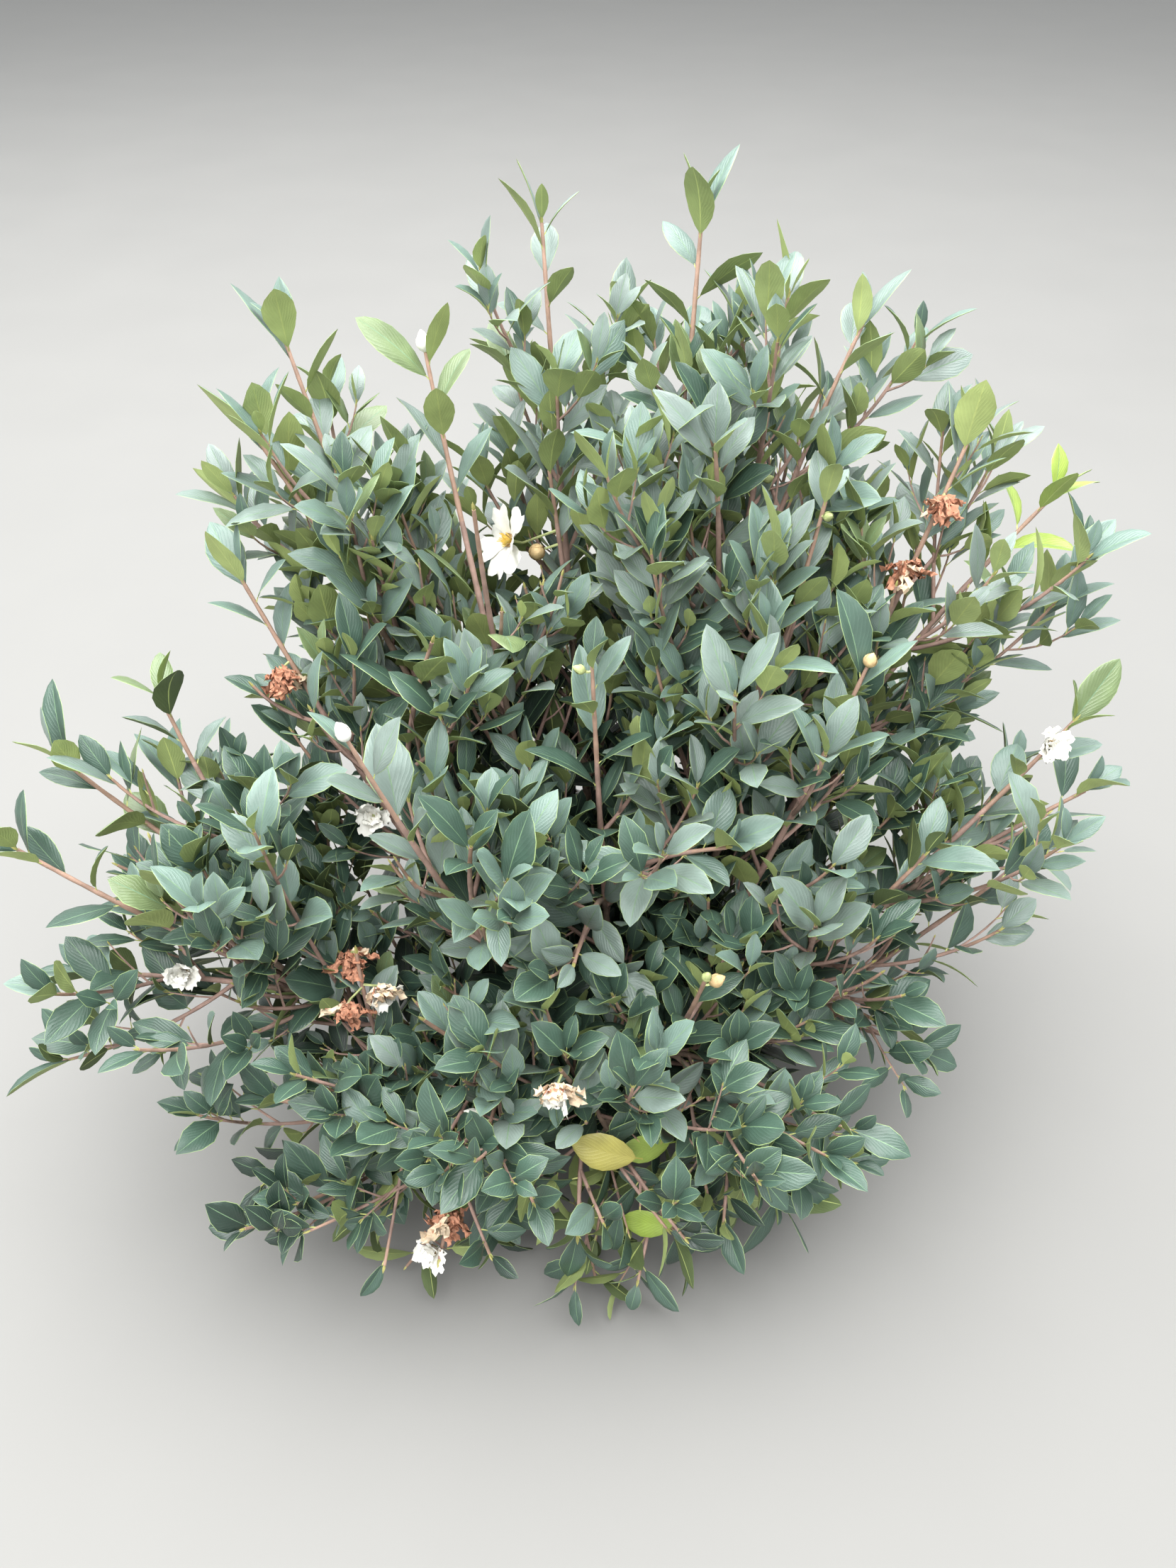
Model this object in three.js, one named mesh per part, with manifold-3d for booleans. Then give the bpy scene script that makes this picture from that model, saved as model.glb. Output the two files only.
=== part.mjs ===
// Oil tea camellia seedling: a bushy young evergreen that forks at the ground into many leafy shoots.
// Millimetres, +Z up. The origin is the middle of the flat cut at ground level. +Y is the back of the bush.
import * as THREE from "three";
import { mergeVertices } from "three/addons/utils/BufferGeometryUtils.js";
import Module from "manifold-3d";

const wasm = await Module();
wasm.setup();

// Stock: the short stem inside the bush, from the ground to where the boughs fork.
const STOCK_RADIUS = 25;
const STOCK_HEIGHT = 82;
const FLARE_RADIUS = 36;
const FLARE_HEIGHT = 24;
const STOCK_SIDES = 14;
const SEAT_GAP = 0.3;

// Boughs leave the stock in rings, evenly round it. A tip is [bearing in degrees from the back towards
// the right, reach, height]. The first tip ends the bough's own line, and the other ones fork from it.
const RINGS = [
  {
    height: 70,
    radius: 0,
    boughs: [{ name: "centre", tips: [[-22, 84, 560], [94, 90, 420], [-150, 95, 350]] }],
  },
  {
    height: 66,
    radius: 14,
    firstBearing: -157.5,
    boughs: [
      { name: "front_left_upright", tips: [[-95, 234, 560], [-105, 141, 450]] },
      { name: "left_tall", tips: [[-45, 444, 760], [-52, 437, 685]] },
      { name: "left_centre_tall", tips: [[-32, 344, 755], [-44, 190, 680]] },
      { name: "back_left_tall", tips: [[-10, 461, 820], [-14, 300, 640]] },
      { name: "back_right_tall", tips: [[10, 409, 845], [6, 260, 600]] },
      { name: "right_centre_tall", tips: [[24, 362, 790], [32, 428, 755], [22, 200, 710]] },
      { name: "right_upright", tips: [[43, 260, 660], [54, 150, 590]] },
      { name: "front_right_upright", tips: [[70, 223, 560]] },
    ],
  },
  {
    height: 40,
    radius: 16,
    firstBearing: -150,
    boughs: [
      { name: "front_left", tips: [[-120, 212, 300], [-141, 281, 80], [-122, 290, 160], [-138, 190, 190]] },
      { name: "left_low", tips: [[-92, 542, 430], [-93, 522, 270], [-95, 399, 400]] },
      { name: "left_outer", tips: [[-81, 541, 450], [-75, 451, 500]] },
      { name: "left_middle", tips: [[-64, 394, 590], [-60, 200, 570]] },
      { name: "back_left", tips: [[-28, 490, 500], [-50, 500, 350]] },
      { name: "back", tips: [[-2, 500, 560], [2, 540, 320]] },
      { name: "back_right", tips: [[27, 500, 500], [45, 500, 330]] },
      { name: "right_tall", tips: [[51, 406, 690], [56, 510, 620]] },
      { name: "right_outer", tips: [[75, 442, 470], [77, 469, 390]] },
      { name: "right_front", tips: [[85, 284, 380], [105, 178, 360], [97, 262, 220]] },
      { name: "front_right", tips: [[146, 122, 350], [136, 229, 80], [124, 205, 180]] },
      { name: "front", tips: [[-159, 164, 290], [164, 207, 70], [-168, 215, 110], [166, 140, 220]] },
    ],
  },
  {
    height: 20,
    radius: 18,
    firstBearing: -105,
    boughs: [
      { name: "front_left_low", tips: [[-110, 358, 200], [-98, 256, 310]] },
      { name: "back_left_low", tips: [[-24, 470, 190]] },
      { name: "back_right_low", tips: [[28, 470, 190]] },
      { name: "right_low", tips: [[78, 408, 300], [96, 252, 200]] },
    ],
  },
];

// The crown leans back, so each ring is tilted: a bough from the front starts above those it passes.
const RING_TILT = 12;

// Lines of growth. A leading shoot leans out from the stock first and then turns up.
const LEAN_OUT = 0.6;
const LEAN_UP = 0.42;
const FORK_SHARE = 0.44;
const FORK_HOLD = 0.4;
const FORK_THINNING = 0.85;
const BOUGH_SHARE = 0.26;
const PATH_STEPS = 24;
const BUTT_RADIUS = 2.8;
const BUTT_RADIUS_PER_MM = 0.0028;
const TIP_RADIUS = 1.5;
const BOUGH_SIDES = 5;
const BOUGH_SEGMENTS = 4;
const TWIG_SIDES = 3;
const LEADER_SEGMENTS = 4;
const SIDE_SEGMENTS = 2;

// Side shoots leave each leading shoot below its bare top, turning round it by the golden angle.
const GOLDEN_ANGLE = 137.5;
const SIDE_SPACING = 40;
const SIDE_START = 14;
const BARE_TOP = 180;
const SIDE_ANGLE = 40;
const SIDE_ANGLE_SPREAD = 12;
const SIDE_RISE = 0.25;
const SIDE_RISE_UPRIGHT = 0.65;
const SIDE_LENGTH = 62;
const SIDE_LENGTH_LOW = 130;
const SIDE_LENGTH_SPREAD = 40;
const SHORTEST_SIDE = 45;
const SIDE_TRIES = 4;
const SIDE_SHRINK = 0.75;
const SIDE_RADIUS = 2.3;
const SIDE_THINNING = 0.8;
const CROWDED_STEPS = 4;
const GROUND_CLEARANCE = 12;

// The solids have one in so many of the side shoots. The lowest leaf of a shoot is this far up it.
const BUILT_SIDE_STEP = 6;
const LOWEST_LEAF = 30;
const LOWEST_LEAF_ON_STEM = 20;

// Leaves: blades in a spiral, closer together at the tip. They are larger than life, as they are fewer.
const LEAF_LENGTH = 96;
const LEAF_WIDTH = 56;
const WIDEST_SHARE = 0.45;
const LEAF_FOLD = 0.1;
const LEAF_SPACING = 64;
const TIP_LEAVES = [3, 9, 16, 46];
const TIP_LEAF_ANGLE = 34;
const LEAF_ANGLE_STEP = 8;
const WIDEST_LEAF_ANGLE = 62;
const LEAF_ANGLE_SPREAD = 8;
const SMALLEST_LEAF = 0.86;
const LEAF_SIZE_SPREAD = 0.28;
const LEAF_ROLL_SPREAD = 0.5;
const LIGHT_TURN = 1.1;
const FLAT_SPRAY = 0.35;

// Open flowers and dried husks, by bough, leading shoot, share of its length and turn round it.
const BLOSSOM_RADIUS = 29;
const BLOSSOM_DEPTH = 16;
const FLOWER_STALK = 3;
const PETALS = 6;
const NOTCH_SHARE = 0.62;
const HEART_DEPTH = 8;
const FLOWER_LIFT = 0.5;
const HUSK_RADIUS = 17;
const HUSK_SINK = 0.3;
const BLOSSOMS = [
  { on: "left_centre_tall", shoot: 0, share: 0.77, turn: 35, open: true },
  { on: "front", shoot: 0, share: 0.97, turn: 270, open: true },
  { on: "front_left_low", shoot: 1, share: 0.97, turn: 250, open: false },
  { on: "left_low", shoot: 1, share: 0.66, turn: 110, open: true },
  { on: "front_left", shoot: 1, share: 0.97, turn: 330, open: true },
  { on: "right_outer", shoot: 0, share: 0.95, turn: 60, open: true },
  { on: "right_tall", shoot: 0, share: 0.93, turn: 60, open: false },
  { on: "left_middle", shoot: 0, share: 0.87, turn: 180, open: false },
  { on: "back_left", shoot: 0, share: 0.88, turn: 0, open: true },
  { on: "back_right", shoot: 0, share: 0.9, turn: 0, open: true },
];

const BARK = { color: 0x8a6a55, roughness: 0.85, metalness: 0 };
const LEAF_GREENS = [0x3f5f4b, 0x466a50, 0x395a4c, 0x4f7252];
const UP = new THREE.Vector3(0, 0, 1);
const radians = THREE.MathUtils.degToRad;

// Random numbers from 0 to 1 that are the same on every run.
function randomStream(seed) {
  let state = seed;
  const draw = () => {
    state = (state * 1664525 + 1013904223) % 4294967296;
    return state / 4294967296;
  };
  for (let i = 0; i < 3; i++) draw();
  return draw;
}

function polar(bearing, reach, height) {
  const angle = radians(bearing);
  return new THREE.Vector3(reach * Math.sin(angle), reach * Math.cos(angle), height);
}

// A line of growth as points with the length up to each.
function makePath(start, control, tip, buttRadius, tipRadius) {
  const curve = new THREE.QuadraticBezierCurve3(start, control, tip);
  const points = [];
  const lengths = [];
  for (let i = 0; i <= PATH_STEPS; i++) {
    points.push(curve.getPoint(i / PATH_STEPS));
    lengths.push(i ? lengths[i - 1] + points[i].distanceTo(points[i - 1]) : 0);
  }
  return { points, lengths, length: lengths[PATH_STEPS], buttRadius, tipRadius };
}

// Place, direction and radius at a length along a path.
function along(path, at) {
  const length = THREE.MathUtils.clamp(at, 0, path.length);
  let i = 1;
  while (i < PATH_STEPS && path.lengths[i] < length) i++;
  const share = (length - path.lengths[i - 1]) / (path.lengths[i] - path.lengths[i - 1]);
  const point = path.points[i - 1].clone().lerp(path.points[i], share);
  const tangent = path.points[i].clone().sub(path.points[i - 1]).normalize();
  const radius = THREE.MathUtils.lerp(path.buttRadius, path.tipRadius, length / path.length);
  return { point, tangent, radius };
}

// The direction square to a tangent at a turn round it, pressed towards level by flat.
function sideways(tangent, turn, flat = 1) {
  const level = new THREE.Vector3().crossVectors(tangent, UP);
  if (level.length() < 0.05) level.set(1, 0, 0);
  level.normalize();
  const raised = new THREE.Vector3().crossVectors(level, tangent);
  const angle = radians(turn);
  return level.multiplyScalar(Math.cos(angle)).addScaledVector(raised, Math.sin(angle) * flat).normalize();
}

function leadingShoots(start, tips) {
  const main = polar(...tips[0]);
  const control = new THREE.Vector3(
    start.x + (main.x - start.x) * LEAN_OUT,
    start.y + (main.y - start.y) * LEAN_OUT,
    start.z + (main.z - start.z) * LEAN_UP,
  );
  const reach = start.distanceTo(main);
  const butt = BUTT_RADIUS + reach * BUTT_RADIUS_PER_MM;
  const shoots = [makePath(start, control, main, butt, TIP_RADIUS)];
  tips.slice(1).forEach((tip) => {
    const fork = along(shoots[0], shoots[0].length * FORK_SHARE);
    const end = polar(...tip);
    const hold = fork.point.distanceTo(end) * FORK_HOLD;
    const bend = fork.point.clone().addScaledVector(fork.tangent, hold);
    shoots.push(makePath(fork.point, bend, end, fork.radius * FORK_THINNING, TIP_RADIUS));
  });
  return shoots;
}

// Every bough with its leading shoots, and where its own mass of foliage begins.
const limbs = [];
RINGS.forEach((ring) =>
  ring.boughs.forEach(({ name, tips }, i) => {
    const bearing = (ring.firstBearing ?? 0) + (360 / ring.boughs.length) * i;
    const start = polar(bearing, ring.radius, ring.height - RING_TILT * Math.cos(radians(bearing)));
    const leaders = leadingShoots(start, tips);
    limbs.push({ name, leaders, boughEnd: leaders[0].length * BOUGH_SHARE });
  }),
);

// A mass keeps to the space that is nearer to its own leading shoots than to any others.
function inOwnSpace(point, limb) {
  let nearest = Infinity;
  let owner = null;
  limbs.forEach((other) =>
    other.leaders.forEach((path) =>
      path.points.forEach((p) => {
        const d = p.distanceToSquared(point);
        if (d < nearest) {
          nearest = d;
          owner = other;
        }
      }),
    ),
  );
  return owner === limb && point.z > GROUND_CLEARANCE;
}

// Side shoots of one leading shoot, shortened until they stay in the mass's own space. Their first steps
// are in the crowd of leading shoots, and aren't asked.
function sideShoots(limb, leader, leaderIndex, limbIndex) {
  const draw = randomStream(1 + limbIndex * 97 + leaderIndex * 31);
  const found = [];
  const first = leaderIndex ? SIDE_START : limb.boughEnd + SIDE_START;
  let turn = draw() * 360;
  for (let at = first; at < leader.length - BARE_TOP; at += SIDE_SPACING) {
    const { point, tangent, radius } = along(leader, at);
    const spread = draw() * SIDE_LENGTH_SPREAD;
    const lift = draw();
    turn += GOLDEN_ANGLE;
    const out = sideways(tangent, turn);
    const angle = radians(SIDE_ANGLE + SIDE_ANGLE_SPREAD * lift);
    const heading = tangent.clone().multiplyScalar(Math.cos(angle)).addScaledVector(out, Math.sin(angle));
    const rise = SIDE_RISE + SIDE_RISE_UPRIGHT * Math.max(0, tangent.z);
    const later = heading.clone().addScaledVector(UP, rise).normalize();
    let length = SIDE_LENGTH + SIDE_LENGTH_LOW * (1 - at / leader.length) + spread;
    for (let i = 0; i < SIDE_TRIES && length > SHORTEST_SIDE; i++) {
      const bend = point.clone().addScaledVector(heading, length / 2);
      const tip = bend.clone().addScaledVector(later, length / 2);
      const butt = Math.min(SIDE_RADIUS, radius * SIDE_THINNING);
      const path = makePath(point, bend, tip, butt, TIP_RADIUS * SIDE_THINNING);
      if (path.points.every((p, k) => k < CROWDED_STEPS || inOwnSpace(p, limb))) {
        found.push(path);
        break;
      }
      length *= SIDE_SHRINK;
    }
  }
  return found;
}

// A geometry with only its positions kept and its shared corners merged, as a solid.
function solidFrom(geometry) {
  const bare = geometry.clone();
  Object.keys(bare.attributes).filter((n) => n !== "position").forEach((n) => bare.deleteAttribute(n));
  const merged = mergeVertices(bare, 1e-3);
  return new wasm.Manifold(
    new wasm.Mesh({
      numProp: 3,
      vertProperties: new Float32Array(merged.attributes.position.array),
      triVerts: new Uint32Array(merged.index.array),
    }),
  );
}

function geometryFrom(solid) {
  const mesh = solid.getMesh();
  const geometry = new THREE.BufferGeometry();
  geometry.setAttribute("position", new THREE.BufferAttribute(mesh.vertProperties, 3));
  geometry.setIndex(new THREE.BufferAttribute(mesh.triVerts, 1));
  geometry.computeVertexNormals();
  return geometry;
}

// A tapering limb: an upright cylinder laid along a stretch of a path.
function limbSolid(path, from, to, sides, segments) {
  const geometry = new THREE.CylinderGeometry(1, 1, 1, sides, segments);
  geometry.rotateX(Math.PI / 2);
  const position = geometry.attributes.position;
  const corner = new THREE.Vector3();
  const axis = along(path, from).tangent;
  const level = sideways(axis, 0);
  for (let i = 0; i < position.count; i++) {
    corner.fromBufferAttribute(position, i);
    const { point, tangent, radius } = along(path, THREE.MathUtils.lerp(from, to, corner.z + 0.5));
    const across = level.clone().addScaledVector(tangent, -level.dot(tangent)).normalize();
    const raised = new THREE.Vector3().crossVectors(tangent, across);
    const place = point.addScaledVector(across, corner.x * radius).addScaledVector(raised, corner.y * radius);
    position.setXYZ(i, place.x, place.y, place.z);
  }
  return solidFrom(geometry);
}

function orient(origin, xAxis, zAxis) {
  const yAxis = new THREE.Vector3().crossVectors(zAxis, xAxis).normalize();
  return new THREE.Matrix4().makeBasis(xAxis, yAxis, zAxis).setPosition(origin);
}

// A blade along +X with its root at the origin: a tetrahedron pressed flat, its midrib below its two sides.
function bladeGeometry(length, width) {
  const geometry = new THREE.TetrahedronGeometry(1);
  const position = geometry.attributes.position;
  for (let i = 0; i < position.count; i++) {
    const side = Math.sign(position.getX(i));
    if (position.getZ(i) > 0) {
      position.setXYZ(i, WIDEST_SHARE * length, (side * width) / 2, LEAF_FOLD * width);
    } else {
      position.setXYZ(i, side > 0 ? length : 0, 0, 0);
    }
  }
  return geometry;
}

// A leaf on a shoot: it points up and out, and its upper face turns to the light.
function leafGeometry(path, at, turn, angle, size, roll) {
  const { point, tangent } = along(path, at);
  const out = sideways(tangent, turn, THREE.MathUtils.lerp(FLAT_SPRAY, 1, Math.abs(tangent.z)));
  const tilt = radians(angle);
  const heading = tangent.clone().multiplyScalar(Math.cos(tilt)).addScaledVector(out, Math.sin(tilt));
  heading.normalize();
  const face = tangent.clone().multiplyScalar(Math.sin(tilt)).addScaledVector(out, -Math.cos(tilt));
  face.addScaledVector(UP, LIGHT_TURN).applyAxisAngle(heading, roll);
  face.addScaledVector(heading, -face.dot(heading)).normalize();
  const blade = bladeGeometry(LEAF_LENGTH * size, LEAF_WIDTH * size);
  blade.applyMatrix4(orient(point, heading, face));
  return blade;
}

// The leaves in a spiral down a shoot: a rosette at its tip, and evenly spaced ones below.
function leavesOf(path, seed, lowest) {
  const draw = randomStream(seed);
  const found = [];
  const turn = draw() * 360;
  for (let k = 0; ; k++) {
    const down = TIP_LEAVES[k] ?? TIP_LEAVES.at(-1) + LEAF_SPACING * (k + 1 - TIP_LEAVES.length);
    const at = path.length - down;
    if (at < lowest) return found;
    const opening = Math.min(WIDEST_LEAF_ANGLE, TIP_LEAF_ANGLE + LEAF_ANGLE_STEP * k);
    const angle = opening + LEAF_ANGLE_SPREAD * (draw() - 0.5);
    const size = SMALLEST_LEAF + LEAF_SIZE_SPREAD * draw();
    const roll = LEAF_ROLL_SPREAD * (draw() - 0.5);
    found.push(leafGeometry(path, at, turn + GOLDEN_ANGLE * k, angle, size, roll));
  }
}

// Whether the middle of a leaf lies in its mass's own space, and all of the leaf is clear of the ground.
function staysIn(blade, limb) {
  blade.computeBoundingBox();
  const middle = blade.boundingBox.getCenter(new THREE.Vector3());
  return inOwnSpace(middle, limb) && blade.boundingBox.min.z > GROUND_CLEARANCE;
}

function boxesMeet(a, b) {
  return [0, 1, 2].every((k) => a.min[k] <= b.max[k] && b.min[k] <= a.max[k]);
}

function touchesAny(solid, others) {
  const box = solid.boundingBox();
  return others.some((o) => boxesMeet(box, o.box) && !solid.intersect(o.solid).isEmpty());
}

// An open flower that faces +Z: a cone with a corner drawn out for each petal, and a stalk under its heart.
function flowerGeometry() {
  const geometry = new THREE.CylinderGeometry(BLOSSOM_RADIUS, FLOWER_STALK, BLOSSOM_DEPTH, PETALS * 2, 1);
  geometry.rotateX(Math.PI / 2);
  const position = geometry.attributes.position;
  for (let i = 0; i < position.count; i++) {
    const x = position.getX(i);
    const y = position.getY(i);
    const corner = Math.round((Math.atan2(y, x) / Math.PI) * PETALS);
    const onRim = Math.hypot(x, y) > BLOSSOM_RADIUS * 0.9;
    const atHeart = Math.hypot(x, y) < 0.1 && position.getZ(i) > 0;
    const share = onRim && corner % 2 ? NOTCH_SHARE : 1;
    const z = position.getZ(i) + BLOSSOM_DEPTH / 2 - (atHeart ? HEART_DEPTH : 0);
    position.setXYZ(i, x * share, y * share, z);
  }
  return geometry;
}

// A flower, or a dried husk, on the outside of its shoot.
function blossomSolid(limb, { shoot, share, turn, open }) {
  const path = limb.leaders[shoot];
  const { point, tangent, radius } = along(path, path.length * share);
  const out = sideways(tangent, turn);
  const face = out.clone().addScaledVector(UP, FLOWER_LIFT).normalize();
  const heart = point.clone().addScaledVector(out, open ? radius : HUSK_RADIUS * (1 - HUSK_SINK));
  const shape = open ? flowerGeometry() : new THREE.IcosahedronGeometry(HUSK_RADIUS, 0).scale(1, 0.8, 1.2);
  return solidFrom(shape.applyMatrix4(orient(heart, sideways(face, 0), face)));
}

// The stock, as an outline turned round its axis; grown by a gap it cuts the boughs' seats.
function stockSolid(gap) {
  const outline = [
    [0, -gap],
    [FLARE_RADIUS + gap, -gap],
    [FLARE_RADIUS - 5 + gap, 5],
    [STOCK_RADIUS + 2 + gap, FLARE_HEIGHT / 2],
    [STOCK_RADIUS + gap, FLARE_HEIGHT],
    [STOCK_RADIUS - 1 + gap, STOCK_HEIGHT - 20],
    [STOCK_RADIUS - 6 + gap, STOCK_HEIGHT - 6],
    [STOCK_RADIUS / 2, STOCK_HEIGHT + gap],
    [0, STOCK_HEIGHT + gap],
  ];
  const turned = new THREE.LatheGeometry(outline.map(([r, z]) => new THREE.Vector2(r, z)), STOCK_SIDES);
  return solidFrom(turned.rotateX(Math.PI / 2));
}

// The largest of the bodies in a solid: a scrap that fusing left loose is dropped.
function wholePiece(solid) {
  return solid.decompose().reduce((a, b) => (a.volume() > b.volume() ? a : b));
}

function meshOf(name, solid, look) {
  const mesh = new THREE.Mesh(geometryFrom(solid), new THREE.MeshStandardMaterial(look));
  mesh.name = name;
  return mesh;
}

// A solid with its box, for quick tests of what it touches.
function boxed(solid) {
  return { solid, box: solid.boundingBox() };
}

// A bough, cut clear of the stock that it stands in.
function boughOf(limb) {
  return limbSolid(limb.leaders[0], 0, limb.boughEnd, BOUGH_SIDES, BOUGH_SEGMENTS).subtract(seatCutter);
}

// The bare stem of a mass: its leading shoots, from just clear of the bough's tip.
function stemOf(limb) {
  const seat = limb.boughEnd + SEAT_GAP;
  return limb.leaders
    .map((path, i) => limbSolid(path, i ? 0 : seat, path.length, TWIG_SIDES, LEADER_SEGMENTS))
    .reduce((a, b) => a.add(b));
}

// A mass of foliage: its stem, some of the side shoots, their leaves and its flowers, as one solid. What
// would touch an obstacle, or another leaf of the mass, is left out.
function massOf(limb, limbIndex, stem, obstacles) {
  const taken = [...obstacles];
  let mass = stem;
  const shoots = limb.leaders.map((path, i) => ({
    path,
    lowest: i ? LOWEST_LEAF : limb.boughEnd + LOWEST_LEAF_ON_STEM,
  }));
  limb.leaders.forEach((leader, i) =>
    sideShoots(limb, leader, i, limbIndex)
      .filter((_, k) => k % BUILT_SIDE_STEP === 0)
      .forEach((path) => {
        const twig = limbSolid(path, 0, path.length, TWIG_SIDES, SIDE_SEGMENTS);
        if (touchesAny(twig, taken)) return;
        mass = mass.add(twig);
        shoots.push({ path, lowest: LOWEST_LEAF });
      }),
  );
  BLOSSOMS.filter(({ on }) => on === limb.name).forEach((blossom) => {
    const flower = blossomSolid(limb, blossom);
    if (touchesAny(flower, taken)) return;
    mass = mass.add(flower);
    taken.push(boxed(flower));
  });
  shoots.forEach(({ path, lowest }, k) =>
    leavesOf(path, 5 + limbIndex * 131 + k * 17, lowest).forEach((blade) => {
      if (!staysIn(blade, limb)) return;
      const leaf = solidFrom(blade);
      if (touchesAny(leaf, taken)) return;
      mass = mass.add(leaf);
      taken.push(boxed(leaf));
    }),
  );
  return wholePiece(mass);
}

const stock = stockSolid(0);
const seatCutter = stockSolid(SEAT_GAP);
const boughs = limbs.map(boughOf);
const stems = limbs.map(stemOf);
const seedling = new THREE.Group();
seedling.add(meshOf("stock", stock, BARK));
limbs.forEach((limb, i) => seedling.add(meshOf("bough_" + limb.name, boughs[i], BARK)));

const built = [stock, ...boughs].map(boxed);
limbs.forEach((limb, i) => {
  const mass = massOf(limb, i, stems[i], [...built, ...stems.slice(i + 1).map(boxed)]);
  built.push(boxed(mass));
  const look = { color: LEAF_GREENS[i % LEAF_GREENS.length], roughness: 0.45, metalness: 0 };
  seedling.add(meshOf("foliage_" + limb.name, mass, look));
});

export default seedling;
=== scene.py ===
import math

import bpy
import numpy as np
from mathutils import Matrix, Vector, kdtree


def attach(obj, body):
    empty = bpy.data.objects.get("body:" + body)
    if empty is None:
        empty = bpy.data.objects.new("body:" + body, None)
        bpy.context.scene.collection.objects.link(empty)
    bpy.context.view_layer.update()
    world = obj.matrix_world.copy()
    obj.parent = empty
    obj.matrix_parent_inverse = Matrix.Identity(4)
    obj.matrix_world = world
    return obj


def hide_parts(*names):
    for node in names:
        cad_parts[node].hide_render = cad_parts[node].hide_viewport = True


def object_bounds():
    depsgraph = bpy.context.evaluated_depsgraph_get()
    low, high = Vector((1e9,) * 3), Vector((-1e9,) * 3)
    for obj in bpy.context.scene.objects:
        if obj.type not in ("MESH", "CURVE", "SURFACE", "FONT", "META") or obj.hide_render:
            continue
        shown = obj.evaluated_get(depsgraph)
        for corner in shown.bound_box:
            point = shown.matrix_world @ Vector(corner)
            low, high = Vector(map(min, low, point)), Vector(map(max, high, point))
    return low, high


# The oil tea camellia seedling, dressed: bark, shoots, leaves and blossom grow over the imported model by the
# same rule as its solids, carried on to finer twigs. Lengths are in millimetres until a mesh is made.
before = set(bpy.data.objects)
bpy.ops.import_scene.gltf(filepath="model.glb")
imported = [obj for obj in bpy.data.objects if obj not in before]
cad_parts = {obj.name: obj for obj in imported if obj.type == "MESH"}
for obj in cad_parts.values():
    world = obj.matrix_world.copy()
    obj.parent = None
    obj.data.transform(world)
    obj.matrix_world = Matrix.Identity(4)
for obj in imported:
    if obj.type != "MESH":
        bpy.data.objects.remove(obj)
cad_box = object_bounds()

MM = 0.001
UP = np.array([0.0, 0.0, 1.0])

# Camera: in front of the bush and above it, looking down at it.
CAMERA_PLACE = (-0.035, -0.770, 1.160)
CAMERA_PITCH = 41
CAMERA_LENS = 27.05
CAMERA_SENSOR = 36

camera = bpy.data.objects.new("camera", bpy.data.cameras.new("camera"))
bpy.context.scene.collection.objects.link(camera)
camera.location = CAMERA_PLACE
camera.rotation_euler = (math.radians(90 - CAMERA_PITCH), 0, 0)
camera.data.sensor_width = CAMERA_SENSOR
camera.data.lens = CAMERA_LENS
bpy.context.scene.camera = camera

# Boughs leave the stock in rings, evenly round it. A tip is (bearing in degrees from the back towards the
# right, reach, height). The first tip ends the bough's own line, and the other ones fork from it.
RINGS = [
    {
        "height": 70, "radius": 0, "first_bearing": 0,
        "boughs": {"centre": [(-22, 84, 560), (94, 90, 420), (-150, 95, 350)]},
    },
    {
        "height": 66, "radius": 14, "first_bearing": -157.5,
        "boughs": {
            "front_left_upright": [(-95, 234, 560), (-105, 141, 450)],
            "left_tall": [(-45, 444, 760), (-52, 437, 685)],
            "left_centre_tall": [(-32, 344, 755), (-44, 190, 680)],
            "back_left_tall": [(-10, 461, 820), (-14, 300, 640)],
            "back_right_tall": [(10, 409, 845), (6, 260, 600)],
            "right_centre_tall": [(24, 362, 790), (32, 428, 755), (22, 200, 710)],
            "right_upright": [(43, 260, 660), (54, 150, 590)],
            "front_right_upright": [(70, 223, 560)],
        },
    },
    {
        "height": 40, "radius": 16, "first_bearing": -150,
        "boughs": {
            "front_left": [(-120, 212, 300), (-141, 281, 80), (-122, 290, 160), (-138, 190, 190)],
            "left_low": [(-92, 542, 430), (-93, 522, 270), (-95, 399, 400)],
            "left_outer": [(-81, 541, 450), (-75, 451, 500)],
            "left_middle": [(-64, 394, 590), (-60, 200, 570)],
            "back_left": [(-28, 490, 500), (-50, 500, 350)],
            "back": [(-2, 500, 560), (2, 540, 320)],
            "back_right": [(27, 500, 500), (45, 500, 330)],
            "right_tall": [(51, 406, 690), (56, 510, 620)],
            "right_outer": [(75, 442, 470), (77, 469, 390)],
            "right_front": [(85, 284, 380), (105, 178, 360), (97, 262, 220)],
            "front_right": [(146, 122, 350), (136, 229, 80), (124, 205, 180)],
            "front": [(-159, 164, 290), (164, 207, 70), (-168, 215, 110), (166, 140, 220)],
        },
    },
    {
        "height": 20, "radius": 18, "first_bearing": -105,
        "boughs": {
            "front_left_low": [(-110, 358, 200), (-98, 256, 310)],
            "back_left_low": [(-24, 470, 190)],
            "back_right_low": [(28, 470, 190)],
            "right_low": [(78, 408, 300), (96, 252, 200)],
        },
    },
]
RING_TILT = 12

# Lines of growth, as in the solids.
LEAN_OUT = 0.6
LEAN_UP = 0.42
FORK_SHARE = 0.44
FORK_HOLD = 0.4
FORK_THINNING = 0.85
BOUGH_SHARE = 0.26
PATH_STEPS = 24
BUTT_RADIUS = 2.8
BUTT_RADIUS_PER_MM = 0.0028
TIP_RADIUS = 1.8
TAPER = 1.6

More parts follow.
